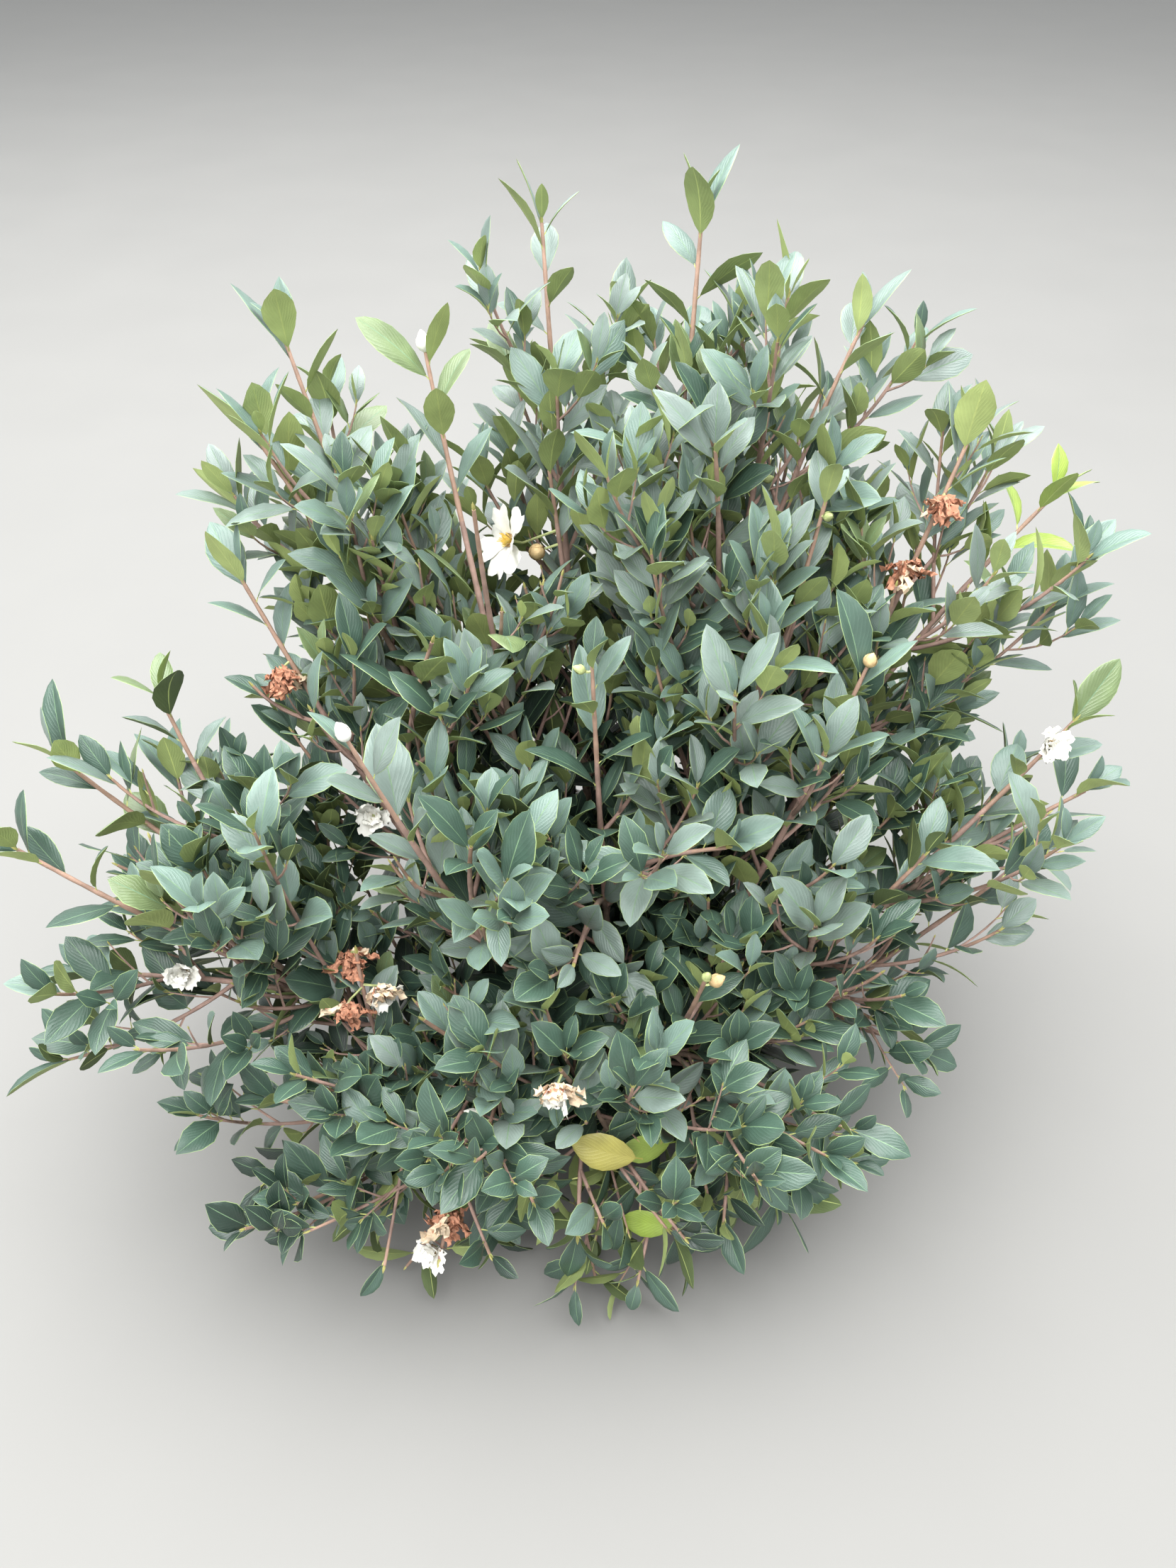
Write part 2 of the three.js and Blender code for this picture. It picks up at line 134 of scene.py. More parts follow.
# Side shoots, as in the solids, but all of them, and more upright. The share of a leading shoot that has
# none at its top goes by the height of its tip, and so do the spacings. Lengths are the one at the tip, how
# much longer they are at the foot, and a random spread.
BARE_SHARES = (0.16, 0.46)
BARE_SHARE_HEIGHTS = (150, 420)
GOLDEN_ANGLE = 137.5
SIDE_SPACINGS = (25, 36)
SIDE_START = 14
BARE_TOP = 150
SIDE_ANGLE = 40
SIDE_ANGLE_SPREAD = 12
SIDE_RISE = 0.25
SIDE_RISE_UPRIGHT = 1.5
SIDE_LENGTHS = (52, 130, 40)
SHORTEST_SIDE = 38
SIDE_TRIES = 4
SIDE_SHRINK = 0.75
SIDE_RADIUS = 2.3
SIDE_THINNING = 0.8
CROWDED_STEPS = 4
GROUND_CLEARANCE = 12

# Side shoots of some masses are longer or shorter than those of the others.
SIDE_SHARES = {
    "front": 1.3,
    "front_left": 1.15,
    "front_left_low": 1.5,
    "left_low": 1.35,
    "right_low": 0.6,
    "right_front": 0.8,
    "left_tall": 1.3,
    "left_centre_tall": 1.3,
    "back_left_tall": 1.4,
    "back_right_tall": 1.4,
    "right_centre_tall": 1.4,
    "right_tall": 1.6,
    "right_outer": 1.35,
    "back_right": 1.3,
    "right_upright": 1.2,
}

# Finer growth than the solids have may reach this far into the next mass.
INTERLOCK = 28

# Leaves that aren't a leading shoot's own keep this far from the lines that run from it, away from the heart
# of the crown. The lines start at this share of its length and are this long, and low shoots have none.
LEADER_ROOM = 17
LEADER_ROOM_START = 0.35
LEADER_ROOM_DEPTH = 110
LEADER_ROOM_STEP = 9
LEADER_ROOM_HEIGHT = 295
CROWN_HEART = np.array([0.0, 250.0, 50.0])

# Sprouts low on the boughs, which hide the stock, and twigs on side shoots and sprouts, by the same rule.
SPROUT_START = 20
SPROUT_SPACING = 14
SPROUT_LENGTHS = (52, 0, 60)
SHORTEST_SPROUT = 34
TWIG_SPACING = 32
TWIG_START = 26
TWIG_BARE_TOP = 40
TWIG_LENGTHS = (32, 0, 48)
SHORTEST_TWIG = 16
TWIG_RADIUS = 1.3
TWIG_TIP_RADIUS = 0.8

# Leaves in a spiral down each shoot: a rosette at its tip, then evenly spaced. Three numbers are for leading
# shoots, side shoots and twigs, except the sizes of tip leaves, which go by their place from the tip. Two
# numbers are a range, or the values low and high in the crown.
LEAF_SPACINGS = (26, 20, 18)
TIP_LEAVES = (2, 7, 14, 26)
LOWEST_LEAVES = (20, 18, 10)
TIP_LEAF_ANGLE = 24
LEAF_ANGLE_STEP = 7
WIDEST_LEAF_ANGLE = 54
LEAF_ANGLE_SPREAD = 30
LEAF_ROLL_SPREAD = 1.1
LIGHT_TURN = 0.7
FLAT_SPRAY = 0.5
LEAF_RISES = (0.3, 0.6)
LEAF_RISE_HEIGHTS = (120, 420)
LEAF_LENGTHS = (66, 60, 55)
LEAF_LENGTH_SHARES = (0.9, 1.08)
LEAF_LENGTH_HEIGHTS = (200, 450)
LEAF_SIZES = (0.7, 1.18)
TIP_LEAF_SIZES = (0.64, 0.88, 1.0)
LOW_HALF_WIDTHS = (0.21, 0.31)
HIGH_HALF_WIDTHS = (0.185, 0.275)
HALF_WIDTH_HEIGHTS = (300, 520)
LEAF_SHAPES = {
    "peak": (0.94, 1.12),
    "point": (0.68, 0.96),
    "fold": (0.15, 0.55),
    "bend": (0.12, 0.75),
    "twist": (-0.35, 0.35),
    "wave": (0, 0.055),
    "cup": (0.05, 0.38),
    "phase": (0, 2 * math.pi),
}
LEAF_THICKNESS = 0.45
PETIOLE = 5
PETIOLE_RADIUS = 0.8
LEAF_CLEARANCE = 3
LEAF_OVERHANG = 8
FRONT_MARGIN = 30
SHOOT_MARGIN = (22, 22, 0)


# Random numbers from 0 to 1 that are the same on every run, as in the solids.
def random_stream(seed):
    state = seed

    def draw():
        nonlocal state
        state = (state * 1664525 + 1013904223) % 4294967296
        return state / 4294967296

    for _ in range(3):
        draw()
    return draw


def unit(vectors):
    return vectors / np.linalg.norm(vectors, axis=-1, keepdims=True)


def polar(bearing, reach, height):
    angle = math.radians(bearing)
    return np.array([reach * math.sin(angle), reach * math.cos(angle), height])


NEARLY_UPRIGHT = 0.05


# The direction square to a tangent at a turn round it, pressed towards level by flat.
def sideways(tangent, turn, flat=1.0):
    level = np.cross(tangent, UP)
    upright = np.linalg.norm(level, axis=-1, keepdims=True) < NEARLY_UPRIGHT
    level = unit(np.where(upright, [1.0, 0.0, 0.0], level))
    raised = np.cross(level, tangent)
    angle = np.radians(np.asarray(turn))[..., None]
    return unit(level * np.cos(angle) + raised * np.sin(angle) * np.asarray(flat)[..., None])


class Shoot:
    """A line of growth: a quadratic curve as points with the length up to each."""

    def __init__(self, start, bend, tip, butt_radius, tip_radius, order):
        share = np.linspace(0, 1, PATH_STEPS + 1)[:, None]
        self.points = start * (1 - share) ** 2 + bend * 2 * share * (1 - share) + tip * share**2
        chords = np.diff(self.points, axis=0)
        spans = np.linalg.norm(chords, axis=1)
        self.tangents = chords / spans[:, None]
        self.lengths = np.append(0, np.cumsum(spans))
        self.length = self.lengths[-1]
        self.butt_radius = butt_radius
        self.tip_radius = tip_radius
        self.order = order

    def along(self, at):
        """Place, direction and radius at a length, or at several lengths, along the shoot."""
        at = np.clip(np.asarray(at, float), 0, self.length)
        i = np.clip(np.searchsorted(self.lengths, at, side="left"), 1, PATH_STEPS)
        share = (at - self.lengths[i - 1]) / (self.lengths[i] - self.lengths[i - 1])
        point = self.points[i - 1] + (self.points[i] - self.points[i - 1]) * share[..., None]
        radius = self.butt_radius + (self.tip_radius - self.butt_radius) * (at / self.length) ** TAPER
        return point, self.tangents[i - 1], radius


def leading_shoots(start, tips):
    main = polar(*tips[0])
    control = start + (main - start) * (LEAN_OUT, LEAN_OUT, LEAN_UP)
    butt = BUTT_RADIUS + np.linalg.norm(main - start) * BUTT_RADIUS_PER_MM
    shoots = [Shoot(start, control, main, butt, TIP_RADIUS, 0)]
    for tip in tips[1:]:
        point, tangent, radius = shoots[0].along(shoots[0].length * FORK_SHARE)
        end = polar(*tip)
        bend = point + tangent * np.linalg.norm(end - point) * FORK_HOLD
        shoots.append(Shoot(point, bend, end, radius * FORK_THINNING, TIP_RADIUS, 0))
    return shoots


# Every bough with its leading shoots, and where its own mass of foliage begins.
limbs = []
for ring in RINGS:
    for i, (name, tips) in enumerate(ring["boughs"].items()):
        bearing = ring["first_bearing"] + 360 / len(ring["boughs"]) * i
        lift = RING_TILT * math.cos(math.radians(bearing))
        leaders = leading_shoots(polar(bearing, ring["radius"], ring["height"] - lift), tips)
        bough_end = leaders[0].length * BOUGH_SHARE
        limbs.append({"index": len(limbs), "name": name, "leaders": leaders, "bough_end": bough_end})

limb_of = {limb["name"]: limb for limb in limbs}

# Flowers, buds and single leaves by bough, leading shoot, share of its length, turn round it, how far the
# heart stands off the shoot, kind, and the bearing that it faces where that isn't straight off the shoot.
# The first ten are where the solids have theirs.
BLOSSOMS = [
    ("back_left_tall", 1, 0.77, 226, 46, "open", -124),
    ("front", 0, 0.97, 270, 12, "fading", 180),
    ("front_left_low", 1, 0.97, 250, 14, "husk", 180),
    ("left_low", 1, 0.66, 110, 14, "cupped", 180),
    ("front_left", 1, 0.97, 330, 8, "cupped", -150),
    ("right_outer", 0, 0.95, 60, 10, "cupped", 170),
    ("right_tall", 0, 0.93, 60, 12, "husk", 180),
    ("left_middle", 0, 0.87, 180, 12, "husk", 180),
    ("back_left", 0, 0.88, 0, 14, "open"),
    ("back_right", 0, 0.9, 0, 14, "open"),
    ("back_left_tall", 1, 0.715, 205, 24, "big_bud", 170),
    ("left_centre_tall", 0, 1.0, 90, 0, "white"),
    ("front_left_upright", 0, 0.99, 0, 0, "white"),
    ("front_left_low", 1, 0.86, 45, 20, "fading", 160),
    ("front_left_low", 1, 0.85, 130, 24, "husk", 180),
    ("left_middle", 0, 0.61, 200, 12, "cupped", 180),
    ("front", 2, 0.5, 130, 32, "old_leaf", 172),
    ("front", 1, 0.46, 125, 22, "young_leaf", 150),
    ("front", 1, 0.75, 20, 24, "young_leaf", -165),
    ("front_left", 3, 0.97, 0, 5, "white"),
    ("front_left", 1, 0.8, 100, 10, "husk"),
    ("right_tall", 0, 0.84, 90, 10, "husk", 180),
    ("front_right", 0, 1.0, 0, 0, "green"),
    ("front_right", 0, 0.97, 200, 4, "tan"),
    ("front_right_upright", 0, 1.0, 0, 0, "tan"),
    ("right_upright", 0, 0.98, 30, 4, "green"),
    ("centre", 0, 0.99, 200, 4, "green"),
    ("right_centre_tall", 0, 0.8, 0, 5, "green"),
    ("back", 0, 0.97, 40, 4, "tan"),
    ("back_left_low", 0, 0.9, 60, 8, "cupped"),
    ("back_right_low", 0, 0.97, 120, 4, "tan"),
]
FLOWER_LIFT = 0.5

# Room in front of a blossom, where nothing else grows: how far round its heart, how far ahead, and how far
# ahead for leaves of leading shoots. It widens, and starts a little behind the heart. With a bearing, the
# room also turns towards this place, above the front of the bush.
BRIGHT_SIDE = np.array([0.0, -800.0, 1200.0])
ROOM_TURN = 2.5
ROOM_SPREAD = 0.15
ROOM_BEHIND = 4
BLOSSOM_ROOM = {
    "open": (46, 200, 200), "fading": (26, 130, 80), "cupped": (20, 190, 50), "husk": (18, 90, 40),
    "white": (4, 14, 14), "tan": (4, 8, 8), "green": (3, 8, 8), "big_bud": (12, 230, 230),
    "old_leaf": (24, 110, 110), "young_leaf": (12, 70, 70),
}


def heart_of(name, leader, share, turn, stand, kind, bearing=None):
    path = limb_of[name]["leaders"][leader]
    point, tangent, radius = path.along(path.length * share)
    heart, facing, room = point, tangent, tangent
    if stand > 0:
        out = sideways(tangent, turn)
        outward = out if bearing is None else polar(bearing, 1, 0)
        heart = point + out * (radius + stand)
        facing = unit(outward + UP * FLOWER_LIFT)
        room = facing if bearing is None else unit(facing + unit(BRIGHT_SIDE - heart) * ROOM_TURN)
    return {"heart": heart, "facing": facing, "room": room, "kind": kind, "foot": point}


hearts = [heart_of(*row) for row in BLOSSOMS]


# The box that finer growth stays in: a little more than the solids' own, but less at the front.
reach_low = np.array(cad_box[0]) / MM - LEAF_OVERHANG + (0, FRONT_MARGIN, 0)
reach_high = np.array(cad_box[1]) / MM + LEAF_OVERHANG


def within_reach(points, margin=0):
    return ((points > reach_low + margin) & (points < reach_high - margin)).all(axis=-1)


# Points in the room of a blossom.
def before_blossom(points, on_leader=False):
    hidden = np.zeros(points.shape[:-1], bool)
    for flower in hearts:
        around, ahead, ahead_of_leader = BLOSSOM_ROOM[flower["kind"]]
        ahead = ahead_of_leader if on_leader else ahead
        apart = points - flower["heart"]
        along = apart @ flower["room"]
        beside = np.linalg.norm(apart - along[..., None] * flower["room"], axis=-1)
        hidden |= (along > -ROOM_BEHIND) & (along < ahead) & (beside < around + along * ROOM_SPREAD)
    return hidden


def tree_of(points):
    tree = kdtree.KDTree(len(points))
    for index, point in enumerate(points):
        tree.insert(point, index)
    tree.balance()
    return tree


space = tree_of([p for limb in limbs for path in limb["leaders"] for p in path.points])
for limb in limbs:
    limb["space"] = tree_of([p for path in limb["leaders"] for p in path.points])


# A mass keeps to the space that is nearer to its own leading shoots than to any others, or just beyond.
def in_own_space(point, limb):
    apart = limb["space"].find(point)[2] - space.find(point)[2]
    return apart < INTERLOCK and point[2] > GROUND_CLEARANCE


# A shoot that leaves another, shortened until it stays in the mass's own space. Its first steps are in the
# crowd of leading shoots, and aren't asked.
def branch(parent, limb, at, turn, angle, length, butt, tip_radius, shortest):
    point, tangent, radius = parent.along(at)
    out = sideways(tangent, turn)
    heading = tangent * math.cos(angle) + out * math.sin(angle)
    rise = SIDE_RISE + SIDE_RISE_UPRIGHT * max(0, tangent[2])
    later = unit(heading + UP * rise)
    for _ in range(SIDE_TRIES):
        if length <= shortest:
            return None
        bend = point + heading * length / 2
        tip = bend + later * length / 2
        butt_radius = min(butt, radius * SIDE_THINNING)
        path = Shoot(point, bend, tip, butt_radius, tip_radius, parent.order + 1)
        outer = path.points[CROWDED_STEPS:]
        inside = within_reach(outer, SHOOT_MARGIN).all() and not before_blossom(outer).any()
        if inside and all(in_own_space(p, limb) for p in outer):
            return path
        length *= SIDE_SHRINK
    return None


# Seeds of the random numbers: the first, and the steps from mass to mass and from shoot to shoot.
SIDE_SEEDS = (1, 97, 31)
SPROUT_SEEDS = (3, 59, 0)
TWIG_SEEDS = (7, 211, 13)
LEAF_SEEDS = (5, 131, 17)
SHADE_SEEDS = (11, 71, 29)
FIRST_FLOWER_SEED = 40


def seed_of(seeds, limb, shoot_index=0):
    return seeds[0] + limb["index"] * seeds[1] + shoot_index * seeds[2]


# Shoots in a spiral along another one, from a start to a stop.
def spiral(parent, limb, seed, start, stop, spacing, lengths, share, butt, tip_radius, shortest):
    draw = random_stream(seed)
    found = []
    at = start
    turn = draw() * 360
    while at < stop:
        length = (lengths[0] + lengths[1] * (1 - at / parent.length) + lengths[2] * draw()) * share
        angle = math.radians(SIDE_ANGLE + SIDE_ANGLE_SPREAD * draw())
        turn += GOLDEN_ANGLE
        path = branch(parent, limb, at, turn, angle, length, butt, tip_radius, shortest)
        if path:
            found.append(path)
        at += spacing
    return found


def side_shoots(limb, leader, leader_index):
    start = SIDE_START + (0 if leader_index else limb["bough_end"])
    height = leader.points[-1][2]
    bare = leader.length * np.interp(height, BARE_SHARE_HEIGHTS, BARE_SHARES)
    stop = leader.length - min(BARE_TOP, bare)
    spacing = np.interp(height, BARE_SHARE_HEIGHTS, SIDE_SPACINGS)
    share = SIDE_SHARES.get(limb["name"], 1)
    habit = (SIDE_LENGTHS, share, SIDE_RADIUS, TIP_RADIUS * SIDE_THINNING, SHORTEST_SIDE)
    return spiral(leader, limb, seed_of(SIDE_SEEDS, limb, leader_index), start, stop, spacing, *habit)


def sprouts_of(limb):
    run = (SPROUT_START, limb["bough_end"], SPROUT_SPACING)
    habit = (SPROUT_LENGTHS, 1, SIDE_RADIUS, TWIG_TIP_RADIUS, SHORTEST_SPROUT)
    return spiral(limb["leaders"][0], limb, seed_of(SPROUT_SEEDS, limb), *run, *habit)


def twigs_of(limb, side, side_index):
    run = (TWIG_START, side.length - TWIG_BARE_TOP, TWIG_SPACING)
    habit = (TWIG_LENGTHS, 1, TWIG_RADIUS, TWIG_TIP_RADIUS, SHORTEST_TWIG)
    return spiral(side, limb, seed_of(TWIG_SEEDS, limb, side_index), *run, *habit)


# The leaves of a shoot as rows, one a leaf, with its place, its own axes and its shape.
def leaves_of(shoot, seed, lowest):
    draw = random_stream(seed)
    first_turn = draw() * 360
    ats, turns, angles, rolls, sizes = [], [], [], [], []
    k = 0
    while True:
        if k < len(TIP_LEAVES):
            down = TIP_LEAVES[k]
        else:
            down = TIP_LEAVES[-1] + LEAF_SPACINGS[shoot.order] * (k + 1 - len(TIP_LEAVES))
        at = shoot.length - down
        if at < lowest:
            break
        opening = min(WIDEST_LEAF_ANGLE, TIP_LEAF_ANGLE + LEAF_ANGLE_STEP * k)
        angles.append(math.radians(opening + LEAF_ANGLE_SPREAD * (draw() - 0.5)))
        size = LEAF_SIZES[0] + (LEAF_SIZES[1] - LEAF_SIZES[0]) * draw()
        size *= TIP_LEAF_SIZES[k] if k < len(TIP_LEAF_SIZES) else 1
        sizes.append(LEAF_LENGTHS[shoot.order] * size)
        rolls.append(LEAF_ROLL_SPREAD * (draw() - 0.5))
        ats.append(at)
        turns.append(first_turn + GOLDEN_ANGLE * k)
        k += 1
    if not ats:
        return None
    point, tangent, radius = shoot.along(ats)
    flat = FLAT_SPRAY + (1 - FLAT_SPRAY) * np.abs(tangent[:, 2])
    out = sideways(tangent, turns, flat)
    tilt = np.array(angles)[:, None]
    rise = np.interp(point[:, 2], LEAF_RISE_HEIGHTS, LEAF_RISES)[:, None]
    heading = unit(tangent * np.cos(tilt) + out * np.sin(tilt) + UP * rise)
    face = tangent * np.sin(tilt) - out * np.cos(tilt) + UP * LIGHT_TURN
    roll = np.array(rolls)[:, None]
    face = face * np.cos(roll) + np.cross(heading, face) * np.sin(roll)
    face = unit(face - heading * (face * heading).sum(1, keepdims=True))
    vary = np.random.default_rng(seed)
    count = len(ats)
    low_to_high = zip(LOW_HALF_WIDTHS, HIGH_HALF_WIDTHS)
    narrowest, widest = (np.interp(point[:, 2], HALF_WIDTH_HEIGHTS, ends) for ends in low_to_high)
    return {
        "origin": point + heading * (radius * 0.5 + PETIOLE)[:, None],
        "heading": heading,
        "face": face,
        "size": np.array(sizes) * np.interp(point[:, 2], LEAF_LENGTH_HEIGHTS, LEAF_LENGTH_SHARES),
        "half_width": narrowest + (widest - narrowest) * vary.uniform(0, 1, count),
        **{field: vary.uniform(*ends, count) for field, ends in LEAF_SHAPES.items()},
    }


# One leaf as corners in its own coordinates: t along it, s across it, k 1 above, -1 below, 0 on the margin.
# Leaves of leading shoots, side shoots and twigs have fewer and fewer stations, and twigs' fewer columns.
FINE_COLUMNS = (-1, -0.965, -0.5, -0.03, 0.03, 0.5, 0.965, 1)
FINE_PARTS = ("rim", "top", "top", "rib", "top", "top", "rim")
PLAIN_COLUMNS = (-1, -0.96, -0.035, 0.035, 0.96, 1)
PLAIN_PARTS = ("rim", "top", "rib", "top", "rim")
UNDER_COLUMNS = (-1, -0.045, 0.045, 1)
UNDER_PARTS = ("under", "under_rib", "under")
LEAF_FORMS = (
    ((0, 0.1, 0.26, 0.44, 0.62, 0.79, 0.92, 1), FINE_COLUMNS, FINE_PARTS),
    ((0, 0.12, 0.31, 0.52, 0.73, 0.9, 1), FINE_COLUMNS, FINE_PARTS),
    ((0, 0.14, 0.38, 0.64, 0.87, 1), PLAIN_COLUMNS, PLAIN_PARTS),
)
PARTS = ("top", "rim", "rib", "under", "under_rib", "stalk")


def leaf_template(stations, top_columns, top_parts):
    corners, faces, parts = [], [], []
    index = {}

    def corner(t, s, k):
        key = (t, 0, 0) if t in (0, 1) else (t, s, 0 if abs(s) == 1 else k)
        if key not in index:
            index[key] = len(corners)
            corners.append(key)
        return index[key]

    for columns, names, k in ((top_columns, top_parts, 1), (UNDER_COLUMNS, UNDER_PARTS, -1)):
        for t0, t1 in zip(stations, stations[1:]):
            for s0, s1, part in zip(columns, columns[1:], names):
                turns = [(t0, s1), (t1, s1), (t1, s0)][::k]
                faces.append(list(dict.fromkeys(corner(t, s, k) for t, s in turns + [(t0, s0)])))
                parts.append(PARTS.index(part))
    first = len(corners)
    stalk = [[0, 1, 4, 3], [1, 2, 5, 4], [2, 0, 3, 5], [2, 1, 0], [3, 4, 5]]
    faces.extend([c + first for c in face] for face in stalk)
    parts.extend([PARTS.index("stalk")] * len(stalk))
    return np.array(corners, float), faces, parts


# The petiole: three corners inside the shoot and three inside the root of the blade.
PETIOLE_SUNK = 1.5
PETIOLE_START = -PETIOLE - PETIOLE_SUNK
PETIOLE_END = 2.0
PETIOLE_THINNING = 0.75
STALK_TURNS = np.radians([90, 210, 330])
STALK_ENDS = ((PETIOLE_START, PETIOLE_RADIUS), (PETIOLE_END, PETIOLE_RADIUS * PETIOLE_THINNING))
STALK_CORNERS = np.concatenate(
    [
        np.stack([x + STALK_TURNS * 0, r * np.cos(STALK_TURNS), r * np.sin(STALK_TURNS)], axis=1)
        for x, r in STALK_ENDS
    ]
)


# Half the width along a leaf. A higher peak moves the widest place towards the tip, and a higher point
# narrows both ends.
def leaf_half_width(t, peak, point):
    return np.sin(np.pi * np.clip(t, 0, 1) ** peak).clip(0) ** point


# Waves along the margin, shifted between its sides. The midrib is a groove above and a ridge below.
MARGIN_WAVES = 9
MARGIN_SHIFT = 1.5
RIB_REACH = 0.1
RIB_GROOVE = 0.25
RIB_RIDGE = 0.5


# Corners of all leaves at once, from the rows of their shapes.
def leaf_corners(rows, corners):
    t, s, k = corners.T
    shape = (rows[field][:, None] for field in ("size", "half_width", *LEAF_SHAPES))
    length, half_width, peak, point, fold, bend, twist, wave, cup, phase = shape
    angle = bend * t
    ahead = length * np.sin(angle) / bend
    droop = -length * (1 - np.cos(angle)) / bend
    half = length * half_width * leaf_half_width(t, peak, point)
    across = s * half * np.cos(fold)
    raised = np.abs(s) * half * np.sin(fold)
    raised = raised - cup * s**2 * half
    raised = raised + wave * half * np.abs(s) * np.sin(MARGIN_WAVES * t + MARGIN_SHIFT * np.sign(s) + phase)
    raised = raised + k * LEAF_THICKNESS / 2
    raised = raised - (np.abs(s) < RIB_REACH) * ((k > 0) * RIB_GROOVE + (k < 0) * RIB_RIDGE)
    turn = twist * t
    y = across * np.cos(turn) - raised * np.sin(turn)
    z = across * np.sin(turn) + raised * np.cos(turn)
    x = ahead + z * np.sin(angle)
    z = droop + z * np.cos(angle)
    stalk = np.broadcast_to(STALK_CORNERS, (len(x), *STALK_CORNERS.shape))
    x, y, z = np.moveaxis(np.concatenate([np.stack([x, y, z], axis=-1), stalk], axis=1), -1, 0)
    side = np.cross(rows["face"], rows["heading"])
    return (
        rows["origin"][:, None]
        + x[..., None] * rows["heading"][:, None]
        + y[..., None] * side[:, None]
        + z[..., None] * rows["face"][:, None]
    )


# Marks of a leaf's corners: u along it and v across it.
def leaf_marks(template):
    return np.concatenate([template[:, :2] * (1, 0.5) + (0, 0.5), np.full((len(STALK_CORNERS), 2), 0.5)])


# A mesh gathered part by part, with a material number for each face and marks as a UV for each corner.
class Gathered:
    def __init__(self):
        self.parts = []
        self.count = 0

    def add(self, corners, faces, shades, marks=None, copies=1):
        """Corners of all copies, the faces of one copy, and shades and marks for all of them."""
        first = self.count + np.arange(copies)[:, None] * (len(corners) // copies)
        loops = (np.array([c for face in faces for c in face]) + first).ravel()
        sizes = np.tile([len(face) for face in faces], copies)
        marks = np.zeros((len(corners), 2)) if marks is None else marks
        self.parts.append((corners, loops, sizes, shades, marks))
        self.count += len(corners)

    def made(self, name, materials, sharp=60):
        """The object, with sharp edges where faces turn by more degrees than sharp."""
        corners, loops, sizes, shades, marks = (np.concatenate(field) for field in zip(*self.parts))
        mesh = bpy.data.meshes.new(name)
        mesh.vertices.add(len(corners))
        mesh.vertices.foreach_set("co", (corners * MM).astype(np.float32).ravel())
        mesh.loops.add(len(loops))
        mesh.loops.foreach_set("vertex_index", loops.astype(np.int32))
        mesh.polygons.add(len(sizes))
        mesh.polygons.foreach_set("loop_start", np.append(0, np.cumsum(sizes)[:-1]).astype(np.int32))
        mesh.polygons.foreach_set("loop_total", sizes.astype(np.int32))
        mesh.update(calc_edges=True)
        mesh.polygons.foreach_set("material_index", shades.astype(np.int32))
        mesh.shade_smooth()
        mesh.set_sharp_from_angle(angle=math.radians(sharp))
        layer = mesh.uv_layers.new(name="marks")
        layer.uv.foreach_set("vector", marks[loops].astype(np.float32).ravel())
        for material in materials:
            mesh.materials.append(material)
        mesh.validate()
        made = bpy.data.objects.new(name, mesh)
        bpy.context.scene.collection.objects.link(made)
        return made


# A closed tube round a line of points. Relief is a share of the radius for each ring and side.
def tube(points, radii, sides, relief=1):
    points = np.asarray(points, float)
    tangents = unit(np.gradient(points, axis=0))
    level = sideways(unit(points[-1] - points[0]), 0)
    across = unit(level - tangents * (tangents @ level)[:, None])
    raised = np.cross(tangents, across)
    turn = np.arange(sides) * 2 * math.pi / sides
    rings = np.repeat(np.asarray(radii, float)[:, None], sides, axis=1) * relief
    corners = (
        points[:, None]
        + (rings * np.cos(turn))[..., None] * across[:, None]
        + (rings * np.sin(turn))[..., None] * raised[:, None]
    ).reshape(-1, 3)
    faces = []
    for i in range(len(points) - 1):
        for j in range(sides):
            a, b = i * sides + j, i * sides + (j + 1) % sides
            faces.append([a, b, b + sides, a + sides])
    faces.append(list(range(sides))[::-1])
    last = (len(points) - 1) * sides
    faces.append([last + j for j in range(sides)])
    round_it = np.tile(np.arange(sides) / sides, len(points))
    along_it = np.repeat(np.linspace(0, 1, len(points)), sides)
    return corners, faces, np.stack([round_it, along_it], axis=1)


# Materials: plain base colours with fine noise in colour, roughness and relief.
def linear(red, green, blue):
    return [((c / 255 + 0.055) / 1.055) ** 2.4 if c > 10 else c / 255 / 12.92 for c in (red, green, blue)]


def noise_node(tree, scale, detail):
    noise = tree.nodes.new("ShaderNodeTexNoise")
    noise.inputs["Scale"].default_value = scale
    noise.inputs["Detail"].default_value = detail
    tree.links.new(tree.nodes["Texture Coordinate"].outputs["Object"], noise.inputs["Vector"])
    return noise.outputs["Fac"]


def bump_node(tree, height, strength, distance):
    relief = tree.nodes.new("ShaderNodeBump")
    relief.inputs["Strength"].default_value = strength
    relief.inputs["Distance"].default_value = distance
    tree.links.new(height, relief.inputs["Height"])
    tree.links.new(relief.outputs["Normal"], tree.nodes["Principled BSDF"].inputs["Normal"])
    return relief


FINE_DEPTH = 0.001
FINE_DETAIL = 4
COLOUR_DETAIL = 3
RAMP_PLACES = (0.3, 0.7)


